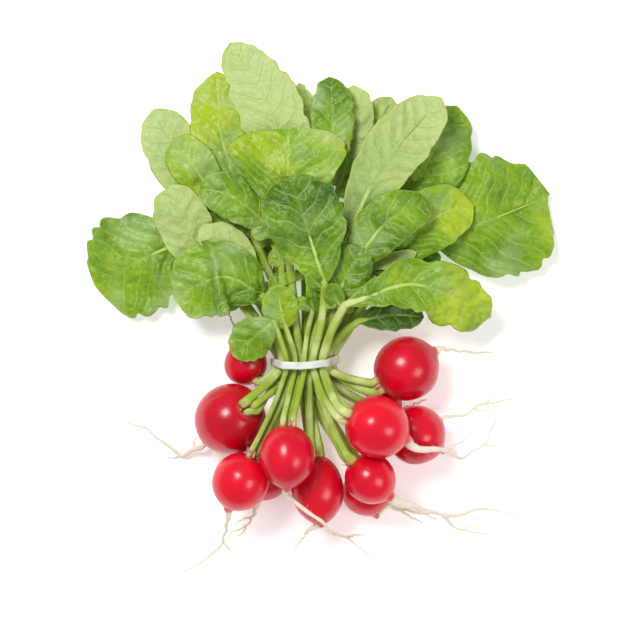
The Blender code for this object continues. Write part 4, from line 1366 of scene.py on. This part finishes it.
class RADISHES_OT_leaves(bpy.types.Operator):
    """Add the leaves, each with its stalk, and the bristles on the stalks"""

    bl_idname = "radishes.leaves"
    bl_label = "Leaves"

    def execute(self, context):
        settings = context.scene.leaf_settings
        colours = palette(settings, context.scene.radish_settings)
        layout = Layout.get()
        blade_skin = leaf_blade_material(colours)
        stem_skin = leaf_stem_material(colours)
        pile = Pile()
        for radish in RADISHES:
            points, radii, _, _ = radish_profile(radish)
            pile.add(ring_sweep(points, radii, 40))
        carriers = Skin()
        for seed, leaf in enumerate(LEAVES):
            _, along = leaf_route(leaf)
            points = layout.stacked[leaf][0]
            split = int(np.argmin(np.abs(along)))
            stem = evenly(points[: split + 1], 1.5)
            route = smooth_route(points[split:], 90)
            stem, route = settle_blade(pile, leaf, stem, route, seed)
            top, under, marks, shape = blade_grid(leaf, route, seed)
            pile.add(finer(top))
            turned = LOOKS[leaf][2]
            rings, values = blade_rings(top, under, marks, shape, turned)
            skin = Skin()
            skin.add(rings[:, ::-1], {name: grid[:, ::-1] for name, grid in values.items()})
            add_leaflets(skin, leaf, stem, seed)
            self.add_stem(skin, carriers, leaf, stem, route, layout.chains[leaf], settings, turned)
            piece = skin.build(leaf + "_blade", [blade_skin, stem_skin], layout.shift)
            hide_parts(leaf)
            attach(piece, "root")
        carrier = carriers.build("stalk_carrier", [], layout.shift)
        bristles = grow_hairs(carrier, "stalk_bristles",
                              {"Hairs per square cm": settings.bristles,
                               "Hair length": settings.bristle_length,
                               "Hair thickness": BRISTLE_THICKNESS * MM, "Seed": 5,
                               "Material": bristle_material()})
        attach(bristles, "root")
        return {"FINISHED"}

    def add_stem(self, skin, carriers, leaf, stem, route, chain, settings, turned):
        """The stalk from the crown through the band, and the midrib that carries on under the blade."""
        thick = LEAVES[leaf][3] * settings.stem_swell
        leaving = unit(RADISHES[LEAVES[leaf][0]][3])
        lower = np.vstack([[chain[0] - leaving * 2.4], chain[:-1]])
        below = evenly(np.vstack([lower, stem[:1]]), 1.6)
        middle = np.vstack([below[:-1], stem[:-1]])
        radii = np.full(len(middle), thick)
        length = np.concatenate([[0], np.cumsum(np.linalg.norm(np.diff(middle, axis=0), axis=1))])
        radii *= 1 + 0.22 * np.exp(-((length / 7) ** 2)) - 0.1 * np.clip((length - 60) / 60, 0, 1)
        share = np.linspace(0, 1, len(route))
        kept = route[share < 0.93]
        share = share[share < 0.93]
        offset = (0.12 if turned else -1) * np.maximum(thick * 0.9 * (1 - share) ** 1.5, 0.25)
        _, _, up = frames_of(route)
        kept = kept + up[: len(kept)] * (offset * np.clip(share * 6, 0, 1))[:, None]
        rib_radii = np.maximum(thick * 0.92 * (1 - share) ** 1.5, 0.22)
        whole = np.vstack([middle, kept])
        both = np.concatenate([radii, rib_radii])
        rings, turns = stem_rings(whole, both, 20)
        run = np.concatenate([[0], np.cumsum(np.linalg.norm(np.diff(whole, axis=0), axis=1))])
        on_blade = np.concatenate([0 * radii, np.clip(share * 3, 0, 1)])
        spread = np.ones(rings.shape[:2])
        values = {"around": np.abs(((turns + math.pi / 2) % (2 * math.pi)) - math.pi)[None] * spread,
                  "length": run[:, None] * spread, "blade": on_blade[:, None] * spread}
        skin.add(rings, values, slot=1)
        carriers.add(stem_rings(middle[::3], radii[::3], 8)[0])


class RADISHES_OT_band(bpy.types.Operator):
    """Add the rubber band round the stalks"""

    bl_idname = "radishes.band"
    bl_label = "Rubber band"

    def execute(self, context):
        settings = context.scene.band_settings
        layout = Layout.get()
        inner = band_outline(layout.stacked, BAND_ROOM)
        corners = np.vstack([inner, inner[:1]])
        fine = np.linspace(0, len(inner), settings.turns, endpoint=False)
        x = np.interp(fine, np.arange(len(corners)), corners[:, 0])
        z = np.interp(fine, np.arange(len(corners)), corners[:, 1])
        kernel = np.hanning(11) / np.hanning(11).sum()
        x = np.convolve(np.concatenate([x[-5:], x, x[:5]]), kernel, "valid")
        z = np.convolve(np.concatenate([z[-5:], z, z[:5]]), kernel, "valid")
        turn = np.linspace(0, 2 * math.pi, len(x), endpoint=False)
        step_x, step_z = np.roll(x, -1) - np.roll(x, 1), np.roll(z, -1) - np.roll(z, 1)
        size = np.hypot(step_x, step_z)
        out = np.stack([step_z / size, 0 * size, -step_x / size], axis=1)
        sag = 2.3 * (1 - (x / np.abs(x).max()) ** 2) * np.clip((z - z.mean()) / 6, -1, 1)
        y = BAND_SLANT * x - sag + 0.15 * np.sin(5 * turn)
        middle = np.stack([x, y, z], axis=1) + out * BAND_THICKNESS * 0.55
        corner = np.linspace(0, 2 * math.pi, 20, endpoint=False)
        squarish = 0.42
        flat = np.sign(np.cos(corner)) * np.abs(np.cos(corner)) ** squarish * BAND_WIDTH * 0.5
        deep = np.sign(np.sin(corner)) * np.abs(np.sin(corner)) ** 0.6 * BAND_THICKNESS * 0.5
        along = np.array((0, 1, 0))
        width = 1 + 0.05 * np.sin(3 * turn + 1)
        rings = middle[:, None] + (width[:, None] * flat[None])[..., None] * along \
            + deep[None, :, None] * out[:, None]
        skin = Skin()
        skin.add(rings, closed=True)
        piece = skin.build("rubber_band_loop", [rubber_material(palette(settings))], layout.shift)
        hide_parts("rubber_band")
        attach(piece, "root")
        return {"FINISHED"}


class RADISHES_OT_stage(bpy.types.Operator):
    """Add the floor, the soft studio light and the camera looking straight down"""

    bl_idname = "radishes.stage"
    bl_label = "Stage"

    def execute(self, context):
        settings = context.scene.stage_settings
        self.floor()
        self.lights(settings)
        self.camera(settings)
        return {"FINISHED"}

    def floor(self):
        mesh = bpy.data.meshes.new("floor")
        reach = 3.0
        mesh.from_pydata([(-reach, -reach, 0), (reach, -reach, 0), (reach, reach, 0), (-reach, reach, 0)], [],
                         [(0, 1, 2, 3)])
        floor = bpy.data.objects.new("floor", mesh)
        bpy.context.collection.objects.link(floor)
        material, tree = new_material("white_light_table")
        tint = noise(tree, own_space(tree), 0.004, 2.0)
        colour = mix(tree, tint, linear("#FBFBFA"), linear("#FEFEFD"))
        # The table is a light table: its own glow takes most of the shadow away.
        top = node(tree, "ShaderNodeBsdfPrincipled", None,
                   {"Base Color": colour, "Roughness": 0.8, "Specular IOR Level": 0.0,
                    "Emission Color": linear("#FFFFFF"), "Emission Strength": 0.32})
        finish_surface(tree, top.outputs[0])
        mesh.materials.append(material)

    def lights(self, settings):
        world = bpy.data.worlds.new("studio")
        world.use_nodes = True
        back = world.node_tree.nodes["Background"]
        back.inputs["Color"].default_value = linear("#FBFCFE")
        back.inputs["Strength"].default_value = settings.sky_strength
        bpy.context.scene.world = world
        for name, place, size, share in (
                ("softbox", (-0.4, 0.45, 1.15), 0.4, 1.0), ("fill", (0.75, -0.35, 0.9), 0.5, 0.35)):
            lamp = bpy.data.lights.new(name, "AREA")
            lamp.shape = "SQUARE"
            lamp.size = size
            lamp.energy = settings.softbox_power * share
            thing = bpy.data.objects.new(name, lamp)
            thing.location = place
            thing.rotation_euler = Vector(place).to_track_quat("Z", "Y").to_euler()
            bpy.context.collection.objects.link(thing)

    def camera(self, settings):
        """The view is centred a little above the band, where the bunch's middle lies."""
        shift = Layout.get().shift
        data = bpy.data.cameras.new("camera")
        level = 0.025
        data.sensor_width = 36
        data.lens = 36 * (settings.camera_height - level) / settings.view_width
        data.clip_start = 0.05
        data.clip_end = 20
        camera = bpy.data.objects.new("camera", data)
        camera.location = ((7.75 + shift[0]) * MM, (20.5 + shift[1]) * MM, settings.camera_height)
        camera.rotation_euler = (0, 0, 0)
        bpy.context.collection.objects.link(camera)
        bpy.context.scene.camera = camera
        bpy.context.scene.view_settings.view_transform = "Standard"


class RADISHES_PT_panel(bpy.types.Panel):
    """Lists the pieces and their settings"""

    bl_label = "Radishes"
    bl_idname = "RADISHES_PT_panel"
    bl_space_type = "VIEW_3D"
    bl_region_type = "UI"
    bl_category = "Radishes"

    def draw(self, context):
        for name in ("radish_settings", "leaf_settings", "band_settings", "stage_settings"):
            group = getattr(context.scene, name)
            box = self.layout.box()
            for setting in group.__annotations__:
                box.prop(group, setting)
        for operator in OPERATORS:
            self.layout.operator(operator.bl_idname)


OPERATORS = (RADISHES_OT_radishes, RADISHES_OT_crowns, RADISHES_OT_leaves, RADISHES_OT_band,
             RADISHES_OT_stage)
GROUPS = {"radish_settings": RadishSettings, "leaf_settings": LeafSettings, "band_settings": BandSettings,
          "stage_settings": StageSettings}


def register():
    for kind in (*GROUPS.values(), *OPERATORS, RADISHES_PT_panel):
        bpy.utils.register_class(kind)
    for name, kind in GROUPS.items():
        setattr(bpy.types.Scene, name, bpy.props.PointerProperty(type=kind))


def unregister():
    for name in GROUPS:
        delattr(bpy.types.Scene, name)
    for kind in reversed((*GROUPS.values(), *OPERATORS, RADISHES_PT_panel)):
        bpy.utils.unregister_class(kind)


def main():
    register()
    bpy.ops.radishes.radishes()
    bpy.ops.radishes.crowns()
    bpy.ops.radishes.leaves()
    bpy.ops.radishes.band()
    bpy.ops.radishes.stage()


if __name__ == "__main__":
    main()
